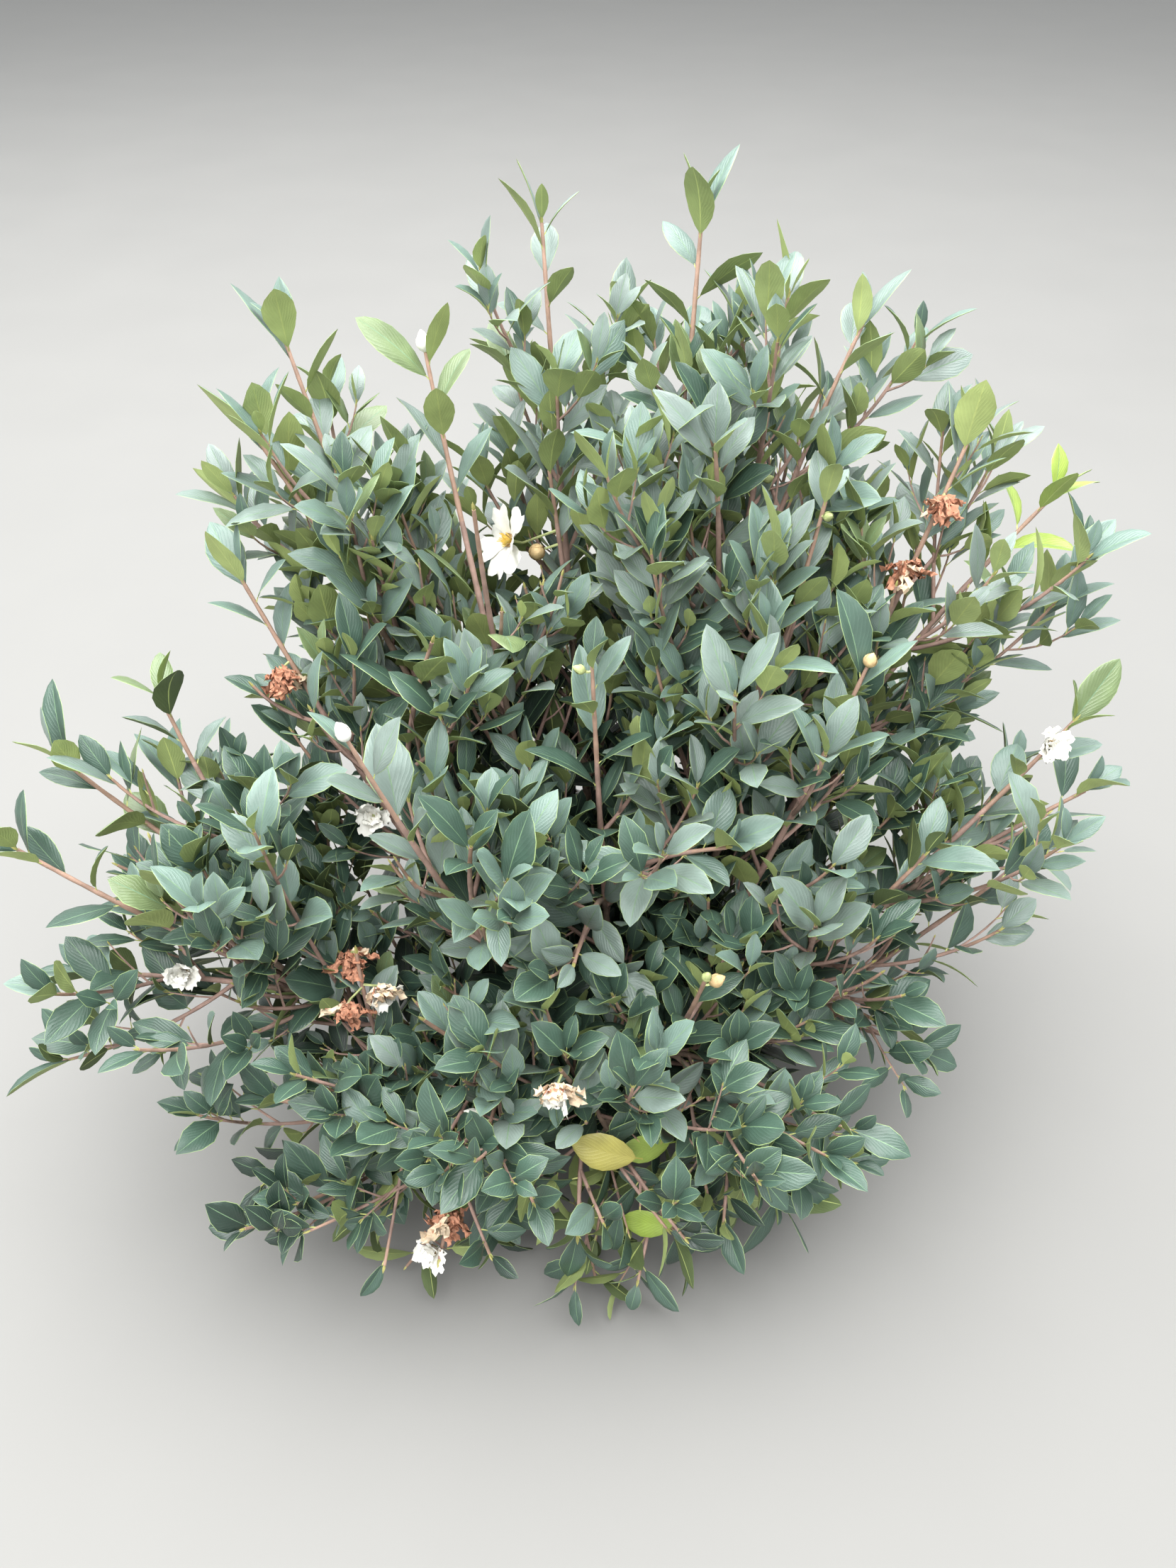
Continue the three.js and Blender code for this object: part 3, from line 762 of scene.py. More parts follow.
# Dark and light are how far the noise takes the colour down and up, and rough is where roughness goes.
def noise_material(name, colour, dark, light, scale, rough, bump, bump_scale, **direct):
    material = bpy.data.materials.new(name)
    material.use_nodes = True
    nodes, links = material.node_tree.nodes, material.node_tree.links
    shader = nodes["Principled BSDF"]
    nodes.new("ShaderNodeTexCoord")
    noise = noise_node(material.node_tree, scale, COLOUR_DETAIL)
    ramp = nodes.new("ShaderNodeValToRGB")
    base = np.array(linear(*colour))
    for stop, place, share in zip(ramp.color_ramp.elements, RAMP_PLACES, (dark, light)):
        stop.position = place
        stop.color = (*(base * share), 1)
    links.new(noise, ramp.inputs["Fac"])
    links.new(ramp.outputs["Color"], shader.inputs["Base Color"])
    spread = nodes.new("ShaderNodeMapRange")
    spread.inputs["To Min"].default_value = rough[0]
    spread.inputs["To Max"].default_value = rough[1]
    links.new(noise, spread.inputs["Value"])
    links.new(spread.outputs["Result"], shader.inputs["Roughness"])
    fine = noise_node(material.node_tree, bump_scale, FINE_DETAIL)
    bump_node(material.node_tree, fine, bump, FINE_DEPTH)
    for socket, value in direct.items():
        shader.inputs[socket.replace("_", " ")].default_value = value
    return material


# A leaf also has side veins, which run from its midrib towards its tip, paler and raised.
VEINS = 9
VEIN_SLANT = 1.1
VEIN_LIGHT = 1.4
VEIN_SHARE = 0.24
VEIN_RELIEF = 0.32
VEIN_DEPTH = 0.0006
LEAF_NOISE = (0.84, 1.16, 40)
LEAF_BUMP = (0.22, 900)
PLAIN_GLOSS = 0.45


def leaf_material(name, colour, rough, gloss=PLAIN_GLOSS):
    material = noise_material(name, colour, *LEAF_NOISE, rough, *LEAF_BUMP, Specular_IOR_Level=gloss)
    nodes, links = material.node_tree.nodes, material.node_tree.links
    marks = nodes.new("ShaderNodeUVMap")
    marks.uv_map = "marks"
    parts = nodes.new("ShaderNodeSeparateXYZ")
    links.new(marks.outputs["UV"], parts.inputs["Vector"])

    def sums(operation, first, second=0.0, third=0.0):
        node = nodes.new("ShaderNodeMath")
        node.operation = operation
        for socket, value in zip(node.inputs, (first, second, third)):
            if isinstance(value, (int, float)):
                socket.default_value = value
            else:
                links.new(value, socket)
        return node.outputs["Value"]

    from_rib = sums("ABSOLUTE", sums("SUBTRACT", parts.outputs["Y"], 0.5))
    slanted = sums("MULTIPLY_ADD", from_rib, -VEIN_SLANT, parts.outputs["X"])
    ridge = sums("POWER", sums("ABSOLUTE", sums("SINE", sums("MULTIPLY", slanted, math.pi * VEINS))), 0.5)
    mix = nodes.new("ShaderNodeMix")
    mix.data_type = "RGBA"
    links.new(sums("MULTIPLY", sums("SUBTRACT", 1.0, ridge), VEIN_SHARE), mix.inputs["Factor"])
    links.new(nodes["Color Ramp"].outputs["Color"], mix.inputs["A"])
    mix.inputs["B"].default_value = (*(np.array(linear(*colour)) * VEIN_LIGHT), 1)
    links.new(mix.outputs["Result"], nodes["Principled BSDF"].inputs["Base Color"])
    fine = nodes["Bump"].outputs["Normal"]
    raised = bump_node(material.node_tree, ridge, VEIN_RELIEF, VEIN_DEPTH)
    links.new(fine, raised.inputs["Normal"])
    return material


# Shades of the upper faces. Inner is painted shade, darker than the leaves themselves. Deep and mid are the
# leaves' own greens, and deep is also dealt as painted shade. Blue and pale are the leaves' own grey-green
# lightened by a painted sheen of the sky. Fresh, young and yellow are the leaves' own colours.
LEAF_SHADES = {
    "inner": (38, 54, 45),
    "deep": (60, 81, 69),
    "mid": (95, 115, 105),
    "blue": (106, 121, 113),
    "pale": (111, 124, 117),
    "fresh": (98, 114, 76),
    "young": (134, 154, 68),
    "yellow": (158, 150, 78),
}
# Shades of the under faces: the leaves' own pale olive, lightened further as painted light shining through
# the leaf. Inner_under is painted shade for undersides deep and low in the crown.
UNDER_SHADES = {
    "inner_under": (88, 102, 64),
    "dull": (142, 156, 98),
    "olive": (162, 176, 110),
    "light": (162, 176, 114),
    "young_under": (146, 164, 88),
}
LINE_SHADES = {
    "rim": (136, 156, 104),
    "rib": (100, 126, 96),
    "under_rib": (176, 188, 116),
    "stalk": (172, 176, 106),
}
leaf_shades = {n: leaf_material("leaf_" + n, c, (0.28, 0.42), 0.52) for n, c in LEAF_SHADES.items()}
leaf_shades.update({n: leaf_material("under_" + n, c, (0.58, 0.7)) for n, c in UNDER_SHADES.items()})
leaf_shades.update({n: leaf_material("leaf_" + n, c, (0.5, 0.6)) for n, c in LINE_SHADES.items()})
SHADE_ORDER = list(leaf_shades)

# Shares of the shades among the sprays, by height in the crown: darker low down as painted shade, and lighter
# high up as painted sky sheen.
SPRAY_HEIGHTS = (130, 310, 440, 560)
SPRAY_SHARES = {
    "deep": (0.82, 0.32, 0.36, 0.08),
    "mid": (0.15, 0.42, 0.42, 0.3),
    "blue": (0.0, 0.19, 0.15, 0.36),
    "pale": (0.0, 0.03, 0.03, 0.2),
    "fresh": (0.03, 0.04, 0.04, 0.06),
}
# Undersides low in the crown mostly take the darkest shade, as painted shade.
UNDER_SHARES = {
    "inner_under": (0.8, 0.12, 0.06, 0.0),
    "dull": (0.2, 0.4, 0.4, 0.3),
    "olive": (0.0, 0.38, 0.44, 0.45),
    "light": (0.0, 0.1, 0.1, 0.25),
}
LEAF_SHADE_SLIP = 0.3

# Painted shade: leaves further than this from the tip of every leading shoot take a darker shade, or the
# darkest, at the same heights, as if shaded deep inside the crown.
SHADED_DEPTHS = (42, 115, 150, 280)
INNER_DEPTHS = (72, 170, 215, 330)
DEPTH_SPREAD = 0.3

# The low outer masses are given shades as dark as if they stood this much lower: painted shade.
SHADE_DROPS = {
    "left_low": 230,
    "left_outer": 190,
    "left_middle": 150,
    "right_outer": 60,
    "right_front": 80,
    "right_low": 80,
}

# Sprays with a colour of their own, by bough and leading shoot: which leaves from the tip, and the shades.
TINTED = {
    ("right_tall", 1): (0, 7, "young", "young_under"),
    ("right_outer", 0): (0, 4, "fresh", "young_under"),
    ("front", 1): (4, 8, "young", "young_under"),
    ("left_outer", 1): (0, 3, "fresh", "young_under"),
}

bark_old = noise_material("bark_old", (142, 121, 106), 0.6, 1.3, 60, (0.8, 0.95), 0.9, 420)
bark_shoot = noise_material("bark_shoot", (152, 124, 113), 0.72, 1.25, 80, (0.6, 0.78), 0.5, 700)
bark_young = noise_material("bark_young", (156, 126, 109), 0.8, 1.2, 90, (0.55, 0.7), 0.35, 800)

# All the shoots of each mass: leading shoots and their side shoots, sprouts, and twigs.
for limb in limbs:
    grown = []
    for leader_index, leader in enumerate(limb["leaders"]):
        grown.extend([leader, *side_shoots(limb, leader, leader_index)])
    grown.extend(sprouts_of(limb))
    twigs = [twigs_of(limb, shoot, i) for i, shoot in enumerate(grown) if shoot.order == 1]
    limb["shoots"] = grown + [twig for few in twigs for twig in few]

# Leaves of side shoots and twigs leave the outer side of the leading shoots free.
LEAF_PROBES = (0.15, 0.5, 0.85)
outward_lines = []
for limb in limbs:
    for leader in limb["leaders"]:
        if leader.points[-1][2] < LEADER_ROOM_HEIGHT:
            continue
        ats = np.arange(leader.length * LEADER_ROOM_START, leader.length, LEADER_ROOM_STEP)
        point = leader.along(ats)[0]
        outward = unit(point - CROWN_HEART)
        for beyond in np.arange(LEADER_ROOM_STEP, LEADER_ROOM_DEPTH, LEADER_ROOM_STEP):
            outward_lines.extend(point + outward * beyond)
leader_room = tree_of(outward_lines)


def hides_leader(rows):
    hidden = np.zeros(len(rows["size"]), bool)
    for share in LEAF_PROBES:
        points = rows["origin"] + rows["heading"] * (rows["size"] * share)[:, None]
        hidden |= np.array([leader_room.find(p)[2] < LEADER_ROOM for p in points], bool)
    return hidden


# Leaves that would hide or touch a blossom aren't grown, nor ones that reach out of the box or the ground.
def has_room(corners, on_leader):
    free = within_reach(corners).all(axis=1) & (corners[:, :, 2].min(axis=1) > LEAF_CLEARANCE)
    return free & ~before_blossom(corners, on_leader).any(axis=1)


templates = [leaf_template(*form) for form in LEAF_FORMS]


# The name of a table that a random number picks, by its shares at a height.
def pick(table, height, value):
    total = 0
    for name, shares in table.items():
        total += float(np.interp(height, SPRAY_HEIGHTS, shares))
        if value < total:
            return name
    return name


leader_tips = tree_of([leader.points[-1] for limb in limbs for leader in limb["leaders"]])


# Rows of all the leaves of a mass, each with the numbers of its two shades and its shoot's order.
def leaf_rows(limb):
    rows = []
    for k, shoot in enumerate(limb["shoots"]):
        bare = limb["bough_end"] if shoot is limb["leaders"][0] else 0
        found = leaves_of(shoot, seed_of(LEAF_SEEDS, limb, k), LOWEST_LEAVES[shoot.order] + bare)
        if found is None:
            continue
        count = len(found["size"])
        draw = random_stream(seed_of(SHADE_SEEDS, limb, k))
        # Shades are dealt by height: lighter high up as painted sky sheen, and darker low down and in the
        # masses of SHADE_DROPS as painted shade.
        height = shoot.points[-1][2] - SHADE_DROPS.get(limb["name"], 0)
        spray = draw()
        chances = [draw() if draw() < LEAF_SHADE_SLIP else spray for _ in range(count)]
        tops = [pick(SPRAY_SHARES, height, chance) for chance in chances]
        unders = [pick(UNDER_SHARES, height, draw())] * count
        leader_index = limb["leaders"].index(shoot) if shoot.order == 0 else None
        if (limb["name"], leader_index) in TINTED:
            start, stop, top, under = TINTED[limb["name"], leader_index]
            tops[start:stop] = [top] * (stop - start)
            unders[start:stop] = [under] * (stop - start)
        # Painted shade: leaves far from every leading shoot's tip, deep in the crown, take the deep and dull
        # shades, and the farthest ones inner and inner_under.
        depth = np.array([leader_tips.find(p)[2] for p in found["origin"]])
        depth = depth / (1 + DEPTH_SPREAD * (draw() - 0.5))
        shaded = depth > np.interp(found["origin"][:, 2], SPRAY_HEIGHTS, SHADED_DEPTHS)
        inner = depth > np.interp(found["origin"][:, 2], SPRAY_HEIGHTS, INNER_DEPTHS)
        for field, names, painted_shade_name, deepest_shade_name in (
            ("shade", tops, "deep", "inner"),
            ("under", unders, "dull", "inner_under"),
        ):
            numbers = [SHADE_ORDER.index(name) for name in names[:count]]
            numbers = np.where(shaded, SHADE_ORDER.index(painted_shade_name), numbers)
            found[field] = np.where(inner, SHADE_ORDER.index(deepest_shade_name), numbers)
        found["order"] = np.full(count, shoot.order)
        rows.append(found)
    return rows


def leaves_piece(name, members):
    found = [row for m in members for row in leaf_rows(limb_of[m])]
    rows = {field: np.concatenate([r[field] for r in found]) for field in found[0]}
    leaves = Gathered()
    for order, (template, faces, parts) in enumerate(templates):
        chosen = {field: values[rows["order"] == order] for field, values in rows.items()}
        corners = leaf_corners(chosen, template)
        keep = has_room(corners, order == 0)
        if order > 0:
            keep &= ~hides_leader(chosen)
        count = keep.sum()
        shades = {part: np.full(count, SHADE_ORDER.index(part)) for part in LINE_SHADES}
        shades["top"] = chosen["shade"][keep]
        shades["under"] = chosen["under"][keep]
        shades = np.stack([shades[PARTS[p]] for p in parts], axis=1).ravel()
        marks = np.tile(leaf_marks(template), (count, 1))
        leaves.add(corners[keep].reshape(-1, 3), faces, shades, marks, count)
    return leaves.made(name, leaf_shades.values())


GROUPS = {
    "leaves_middle": ["centre", "front_left_upright", "front_right_upright", "right_upright"],
    "leaves_front": ["front_left", "front_right", "front", "front_left_low", "right_front"],
    "leaves_left": ["left_tall", "left_low", "left_outer", "left_middle", "left_centre_tall"],
    "leaves_back": [
        "back_left_tall", "back_right_tall", "back_left", "back", "back_left_low", "back_right_low",
    ],
    "leaves_right": ["right_centre_tall", "back_right", "right_tall", "right_outer", "right_low"],
}
for name, members in GROUPS.items():
    piece = leaves_piece(name, members)
    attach(piece, "root")
    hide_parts(*("foliage_" + m for m in members))

# Buds and blossom, with looks as noise_material takes them.
FLOWER_LOOKS = {
    "petal": ((238, 236, 228), 0.94, 1.02, 120, (0.5, 0.62), 0.25, 500),
    "petal_fading": ((238, 214, 184), 0.7, 1.08, 160, (0.6, 0.75), 0.4, 400),
    "petal_dried": ((190, 134, 106), 0.55, 1.25, 220, (0.75, 0.9), 0.6, 400),
    "stamen": ((236, 206, 104), 0.8, 1.1, 300, (0.6, 0.7), 0.3, 900),
    "bud_scale": ((196, 168, 122), 0.75, 1.15, 220, (0.55, 0.7), 0.4, 700),
    "leaf_bud": ((166, 160, 96), 0.8, 1.15, 260, (0.5, 0.65), 0.3, 900),
    "bud_scale_green": ((170, 178, 120), 0.8, 1.12, 220, (0.5, 0.65), 0.3, 700),
}
flower_shades = {name: noise_material(name, *look) for name, look in FLOWER_LOOKS.items()}
leaf_bud = flower_shades.pop("leaf_bud")
flower_shades["yellow"] = leaf_shades["yellow"]
flower_shades["young"] = leaf_shades["young"]
FLOWER_ORDER = list(flower_shades)
TIP_BUD_LENGTHS = (9, 7, 5)
TIP_BUD_WIDTH = 0.2
TIP_BUD_SIDES = (4, 4, 3)
TIP_BUD_ATS = np.array([-0.1, 0.28, 0.65, 1.0])
TIP_BUD_RADII = np.array([0.6, 1.0, 0.75, 0.08])
PETAL_THICKNESS = 0.5
SCALE_THICKNESS = 0.4
PETAL_ROOT = 0.06
PETAL_SPAN = 0.6
PETAL_ROUNDING = 0.16
PETAL_CUP = 0.16
RUFFLE = 0.07
RUFFLE_WAVES = 3.4
STAMEN_LEAN = 0.55
STAMEN_SPREAD = 4
STAMEN_REACHES = (0.75, 1.1)
STAMEN_HEAD = 1.4
STAMEN_RADII = (0.3, 0.28, 0.75, 0.3)
EGG_ENDS = (0.03, 0.99)
EGG_SIDES = 9
EGG_SCALES = 5
EGG_SCALE_FOOT = 0.02
EGG_SCALE_TOP = 0.42
EGG_SCALE_STEP = 0.1
EGG_SCALE_TURN = 2.4
EGG_SCALE_HALF_TURN = 1.1
EGG_SCALE_SHARE = 1.06
EGG_SCALE_LIFT = 0.25
NOT_ZERO = 1e-9
tip_buds = Gathered()
blossoms = Gathered()


def add_tip_bud(shoot):
    length = TIP_BUD_LENGTHS[shoot.order]
    line = shoot.points[-1] + shoot.tangents[-1] * (TIP_BUD_ATS * length)[:, None]
    radii = TIP_BUD_RADII * length * TIP_BUD_WIDTH
    corners, faces, marks = tube(line, radii, TIP_BUD_SIDES[shoot.order])
    tip_buds.add(corners, faces, [0] * len(faces), marks)


# A closed thin sheet over a grid of points: an upper and an under face that share the margin.
def closed_sheet(grid, thickness):
    rows, columns = grid.shape[:2]
    normal = unit(np.cross(np.gradient(grid, axis=0), np.gradient(grid, axis=1)) + NOT_ZERO)
    inner = np.zeros((rows, columns), bool)
    inner[1:-1, 1:-1] = True
    upper = np.arange(rows * columns).reshape(rows, columns)
    under = upper.copy()
    under[inner] = rows * columns + np.arange(inner.sum())
    corners = np.concatenate(
        [
            np.where(inner[..., None], grid + normal * thickness / 2, grid).reshape(-1, 3),
            (grid - normal * thickness / 2)[inner],
        ]
    )
    faces = []
    for i in range(rows - 1):
        for j in range(columns - 1):
            faces.append([upper[i, j], upper[i + 1, j], upper[i + 1, j + 1], upper[i, j + 1]])
            faces.append([under[i, j], under[i, j + 1], under[i + 1, j + 1], under[i + 1, j]])
    return corners, faces


# A petal in its flower's frame, which faces +Z: lifted is its angle above the flower's face in degrees.
def petal(length, width, turn, lifted, notch, curl, crumple, vary, root=2.5, steps=(8, 7)):
    t = np.linspace(0, 1, steps[0])[:, None]
    s = np.linspace(-1, 1, steps[1])[None, :]
    half = width / 2 * np.sin(np.pi * (PETAL_ROOT + PETAL_SPAN * t)) ** 1.2
    notched = notch * (1 - np.abs(s)) ** 1.5 * t**4
    ahead = length * t * (1 - notched - PETAL_ROUNDING * np.abs(s) ** 3 * t**3)
    angle = math.radians(lifted)
    out = root + ahead * math.cos(angle) + curl * length * t**2 * math.sin(angle)
    ruffle = RUFFLE * length * t**2 * np.sin(RUFFLE_WAVES * s + vary.uniform(0, 6)) * np.abs(s)
    up = ahead * math.sin(angle) - curl * length * t**2 * math.cos(angle) + PETAL_CUP * s**2 * half + ruffle
    across = s * half * np.ones_like(t)
    grid = np.stack(np.broadcast_arrays(out, across, up), axis=-1)
    grid = grid + vary.normal(0, crumple, grid.shape) * (t[..., None] > 0)
    c, n = math.cos(math.radians(turn)), math.sin(math.radians(turn))
    return grid @ np.array([[c, n, 0], [-n, c, 0], [0, 0, 1]])


def add_blossom(shade, corners, faces, marks=None):
    blossoms.add(corners, faces, [FLOWER_ORDER.index(shade)] * len(faces), marks)


def add_sheet(place, grid, shade, thickness=PETAL_THICKNESS):
    add_blossom(shade, *closed_sheet(place(grid), thickness))


# A ring of small scales under a flower.
def add_calyx(place, vary, count, length, lifted, root, sunk, shade):
    for i in range(count):
        scale = petal(length, length, i * 360 / count, lifted, 0, -0.3, 0.1, vary, root, (4, 4))
        add_sheet(place, scale - (0, 0, sunk), shade)


def add_stamens(place, count, length, vary):
    for _ in range(count):
        lean = vary.uniform(0, STAMEN_LEAN)
        turn = vary.uniform(0, 2 * math.pi)
        reach = length * vary.uniform(*STAMEN_REACHES)
        foot = np.array([math.cos(turn), math.sin(turn), 0]) * lean * STAMEN_SPREAD
        head = foot + reach * np.array([math.cos(turn) * lean, math.sin(turn) * lean, 1])
        line = place(np.array([foot, (foot + head) / 2, head, head + unit(head - foot) * STAMEN_HEAD]))
        add_blossom("stamen", *tube(line, STAMEN_RADII, 3))


# Half the width of an egg-shaped bud along it.
def egg_reach(share, width):
    return width / 2 * np.sin(np.pi * share**0.85) ** 0.75


# An egg-shaped bud with overlapping scales, each longer and further round it than the one before.
def add_egg(place, length, width, shade):
    ats = np.linspace(*EGG_ENDS, EGG_SIDES)
    line = np.stack([ats * 0, ats * 0, ats * length], axis=1)
    corners, faces, marks = tube(line, egg_reach(ats, width), EGG_SIDES)
    add_blossom(shade, place(corners), faces, marks)
    for i in range(EGG_SCALES):
        top = EGG_SCALE_TOP + EGG_SCALE_STEP * i
        t = np.linspace(EGG_SCALE_FOOT, top, 5)[:, None]
        s = np.linspace(-1, 1, 5)[None, :]
        reach = egg_reach(t, width) * EGG_SCALE_SHARE + EGG_SCALE_LIFT
        narrowing = np.sqrt(np.clip(1 - (t / top) ** 3, 0.02, 1))
        turn = i * EGG_SCALE_TURN + EGG_SCALE_HALF_TURN * s * narrowing
        up = t * length * np.ones_like(s)
        grid = np.stack([reach * np.cos(turn), reach * np.sin(turn), up], axis=-1)
        add_sheet(place, grid, shade, SCALE_THICKNESS)


# Takes what is made round the origin and facing +Z to its point and facing.
def frame_at(point, facing, vary):
    side = sideways(facing, vary.uniform(0, 360))
    over = np.cross(facing, side)
    return lambda local: point + np.asarray(local) @ np.array([side, over, facing])


def add_open_flower(point, facing, vary):
    place = frame_at(point, facing, vary)
    for i in range(7):
        turn = i * 360 / 7 + vary.uniform(-12, 12)
        length = vary.uniform(33, 42)
        lifted = vary.uniform(8, 24) if i % 2 else vary.uniform(26, 44)
        grid = petal(length, vary.uniform(23, 28), turn, lifted, 0.24, vary.uniform(0.02, 0.22), 0.5, vary)
        add_sheet(place, grid, "petal")
    add_stamens(place, 40, 11, vary)
    add_calyx(place, vary, 5, 9, 30, 0.5, 2, "bud_scale")


def add_cupped_flower(point, facing, vary):
    place = frame_at(point, facing, vary)
    for i in range(6):
        grid = petal(vary.uniform(17, 23), 16, i * 60, vary.uniform(25, 60), 0.15, 0.05, 0.9, vary)
        add_sheet(place, grid, "petal")
    for i in range(4):
        grid = petal(vary.uniform(13, 18), 13, i * 90 + 30, vary.uniform(55, 80), 0.1, 0.1, 0.9, vary, 1.5)
        add_sheet(place, grid, "petal")
    add_calyx(place, vary, 5, 9, 40, 0.5, 2, "bud_scale")


def add_fading_flower(point, facing, vary):
    place = frame_at(point + UP * 6, unit(facing - UP * 0.7), vary)
    for i in range(10):
        lifted = vary.uniform(30, 85)
        length = vary.uniform(17, 31)
        grid = petal(length, vary.uniform(13, 21), i * GOLDEN_ANGLE, lifted, 0.15, 0.1, 1.7, vary)
        add_sheet(place, grid, "petal_fading" if i % 3 else "petal")
    for i in range(5):
        length = vary.uniform(11, 17)
        grid = petal(length, 8, i * 72 + 20, vary.uniform(30, 80), 0, 0.1, 1.5, vary, 1, (6, 5))
        add_sheet(place, grid, "petal_dried")


def add_husk(point, facing, vary):
    place = frame_at(point, unit(facing * 0.6 - UP), vary)
    for i in range(14):
        length = vary.uniform(13, 34)
        turn = i * GOLDEN_ANGLE + vary.uniform(-20, 20)
        width = vary.uniform(9, 15)
        lifted = vary.uniform(20, 85)
        grid = petal(length, width, turn, lifted, 0.2, vary.uniform(-0.2, 0.4), 1.9, vary)
        add_sheet(place, grid, "petal_fading" if i in (3, 8) else "petal_dried")


def add_bud(point, facing, vary, lengths, width, shade, calyx=False):
    place = frame_at(point, facing, vary)
    add_egg(place, vary.uniform(*lengths), width, shade)
    if calyx:
        add_calyx(place, vary, 4, 8, 62, 0.8, 0.5, "bud_scale_green")


def add_big_bud(point, facing, vary):
    add_egg(frame_at(point - facing * 7, facing, vary), 18, 15.5, "bud_scale")


# A single leaf with a colour of its own, its middle at the point and its upper face turned to the front.
SINGLE_LEAF = dict(peak=1, point=0.75, fold=0.2, bend=0.3, twist=0.1, wave=0.03, cup=0.1, phase=0)


def add_leaf(point, facing, vary, length, half_width, shade):
    heading = np.cross(facing, sideways(facing, vary.uniform(50, 130)))
    rows = {**SINGLE_LEAF, "heading": heading, "face": facing, "size": length, "half_width": half_width}
    rows["origin"] = point - heading * length / 2
    rows = {field: np.array([value]) for field, value in rows.items()}
    template, faces, _ = templates[0]
    add_blossom(shade, leaf_corners(rows, template)[0], faces, leaf_marks(template))


# What makes each kind, and the sizes and shade that it is given.
FLOWER_FORMS = {
    "old_leaf": (add_leaf, 64, 0.3, "yellow"),
    "young_leaf": (add_leaf, 54, 0.27, "young"),
    "open": (add_open_flower,),
    "fading": (add_fading_flower,),
    "cupped": (add_cupped_flower,),
    "husk": (add_husk,),
    "white": (add_bud, (19, 22), 12, "petal", True),
    "tan": (add_bud, (13, 16), 11.5, "bud_scale"),
    "green": (add_bud, (11, 14), 8, "bud_scale_green"),
    "big_bud": (add_big_bud,),
}
STEMLESS = ("old_leaf", "young_leaf")
SHORTEST_FLOWER_STEM = 5
FLOWER_STEM_BEND = 0.3
FLOWER_STEM_RADII = (1.4, 1.2, 1.2, 1.6)
for number, flower in enumerate(hearts):
    form, *sizes = FLOWER_FORMS[flower["kind"]]
    form(flower["heart"], flower["facing"], np.random.default_rng(FIRST_FLOWER_SEED + number), *sizes)
    length = np.linalg.norm(flower["heart"] - flower["foot"])
    if length > SHORTEST_FLOWER_STEM and flower["kind"] not in STEMLESS:
        behind = flower["heart"] - flower["facing"] * length * FLOWER_STEM_BEND
        line = [flower["foot"], (flower["foot"] + behind) / 2, behind, flower["heart"]]
        add_blossom("bud_scale_green", *tube(line, FLOWER_STEM_RADII, 5))

piece = blossoms.made("blossom", flower_shades.values(), sharp=70)
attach(piece, "root")

# Stems: steps and sides for each order, and a swell now and then. Leading shoots have old bark up to the
# first share of their length, and everything has young bark from the second share on.
STEM_STEP = (9, 11, 13)
STEM_SIDES = (8, 6, 4)
STEM_SWELL = 0.08
STEM_SWELL_TURN = 0.21
FEWEST_STEM_STEPS = 3
BARK_SHARES = (0.45, 0.8)
wood = {"bark": Gathered(), "shoots": Gathered(), "twigs": Gathered()}
for limb in limbs:
    for i, shoot in enumerate(limb["shoots"]):
        sides = STEM_SIDES[shoot.order]
        steps = max(FEWEST_STEM_STEPS, int(shoot.length / STEM_STEP[shoot.order]))
        ats = np.linspace(0, shoot.length, steps + 1)
        point, _, radius = shoot.along(ats)
        swell = 1 + STEM_SWELL * np.sin(ats * STEM_SWELL_TURN + i)
        corners, faces, marks = tube(point, radius * swell, sides)
        share = np.array([min(f) // sides for f in faces]) / steps
        old = (shoot.order == 0) & (share < BARK_SHARES[0])
        ages = np.where(old, 0, np.where(share < BARK_SHARES[1], 1, 2))
        wood["twigs" if shoot.order else "shoots"].add(corners, faces, ages, marks)
        add_tip_bud(shoot)

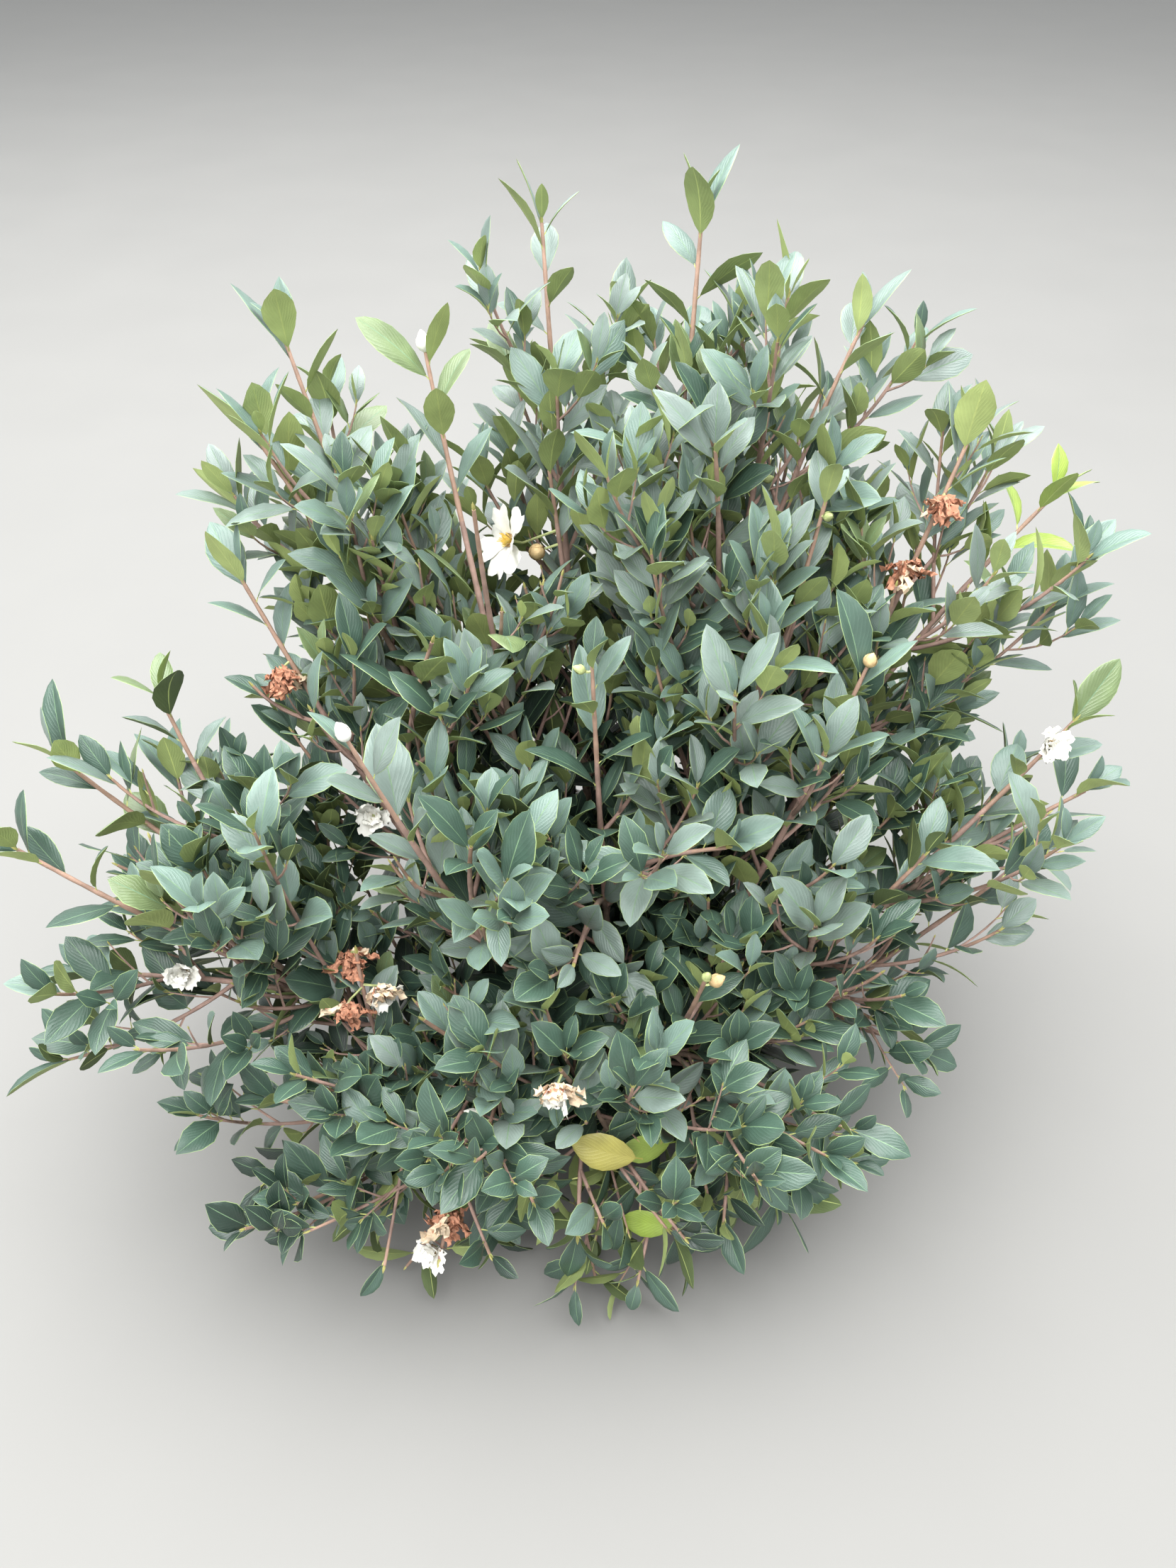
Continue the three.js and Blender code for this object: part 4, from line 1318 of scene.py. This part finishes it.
# The stock: a flared foot, and two sets of folds that wind round it.
STOCK_BASE = 0.5
STOCK_HEIGHT = 81
STOCK_RADIUS = 19
STOCK_SWELL = 6
STOCK_FLARE = 10
STOCK_FLARE_FALL = 9
STOCK_RINGS = 20
STOCK_SIDES = 36
STOCK_FOLDS = ((0.05, 7, 3), (0.03, 13, -9))
ats = np.linspace(0, 1, STOCK_RINGS)
line = np.stack([ats * 0, ats * 0, STOCK_BASE + ats * STOCK_HEIGHT], axis=1)
radii = STOCK_RADIUS + STOCK_SWELL * (1 - ats) ** 0.5 + STOCK_FLARE * np.exp(-ats * STOCK_FLARE_FALL)
turn = np.arange(STOCK_SIDES) * 2 * math.pi / STOCK_SIDES
waves = (depth * np.sin(folds * turn + wind * ats[:, None]) for depth, folds, wind in STOCK_FOLDS)
relief = sum(waves, start=1)
corners, faces, marks = tube(line, radii, STOCK_SIDES, relief)
wood["bark"].add(corners, faces, [0] * len(faces), marks)

piece = tip_buds.made("tip_buds", [leaf_bud])
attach(piece, "root")
for name, gathered in wood.items():
    piece = gathered.made(name, [bark_old, bark_shoot, bark_young])
    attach(piece, "root")
    if name == "bark":
        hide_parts("stock", *("bough_" + limb["name"] for limb in limbs))

# Floor and light.
FLOOR_SIZE = 40
SKY_COLOUR = (0.94, 0.97, 1.0, 1)
SKY_STRENGTH = 1.2
LIGHT_AIM = np.array([0, 0.1, 0.3])

bpy.ops.mesh.primitive_plane_add(size=FLOOR_SIZE)
floor = bpy.context.object
floor.name = "floor"
floor.data.materials.append(noise_material("floor", (118, 117, 114), 0.98, 1.02, 3, (0.8, 0.9), 0.02, 200))

world = bpy.data.worlds.new("studio")
world.use_nodes = True
background = world.node_tree.nodes["Background"]
background.inputs["Color"].default_value = SKY_COLOUR
background.inputs["Strength"].default_value = SKY_STRENGTH
bpy.context.scene.world = world


def area_light(name, place, size, power, colour):
    light = bpy.data.lights.new(name, "AREA")
    light.shape = "DISK"
    light.size = size
    light.energy = power
    light.color = colour
    lamp = bpy.data.objects.new(name, light)
    bpy.context.scene.collection.objects.link(lamp)
    lamp.location = place
    lamp.rotation_euler = Vector(LIGHT_AIM - place).to_track_quat("-Z", "Y").to_euler()


area_light("sky_light", (-0.4, 0.5, 4.8), 8.0, 1200, (0.98, 0.99, 1.0))
area_light("front_light", (-1.0, -2.6, 2.4), 2.0, 45, (1.0, 0.99, 0.97))
bpy.context.scene.view_settings.view_transform = "Standard"
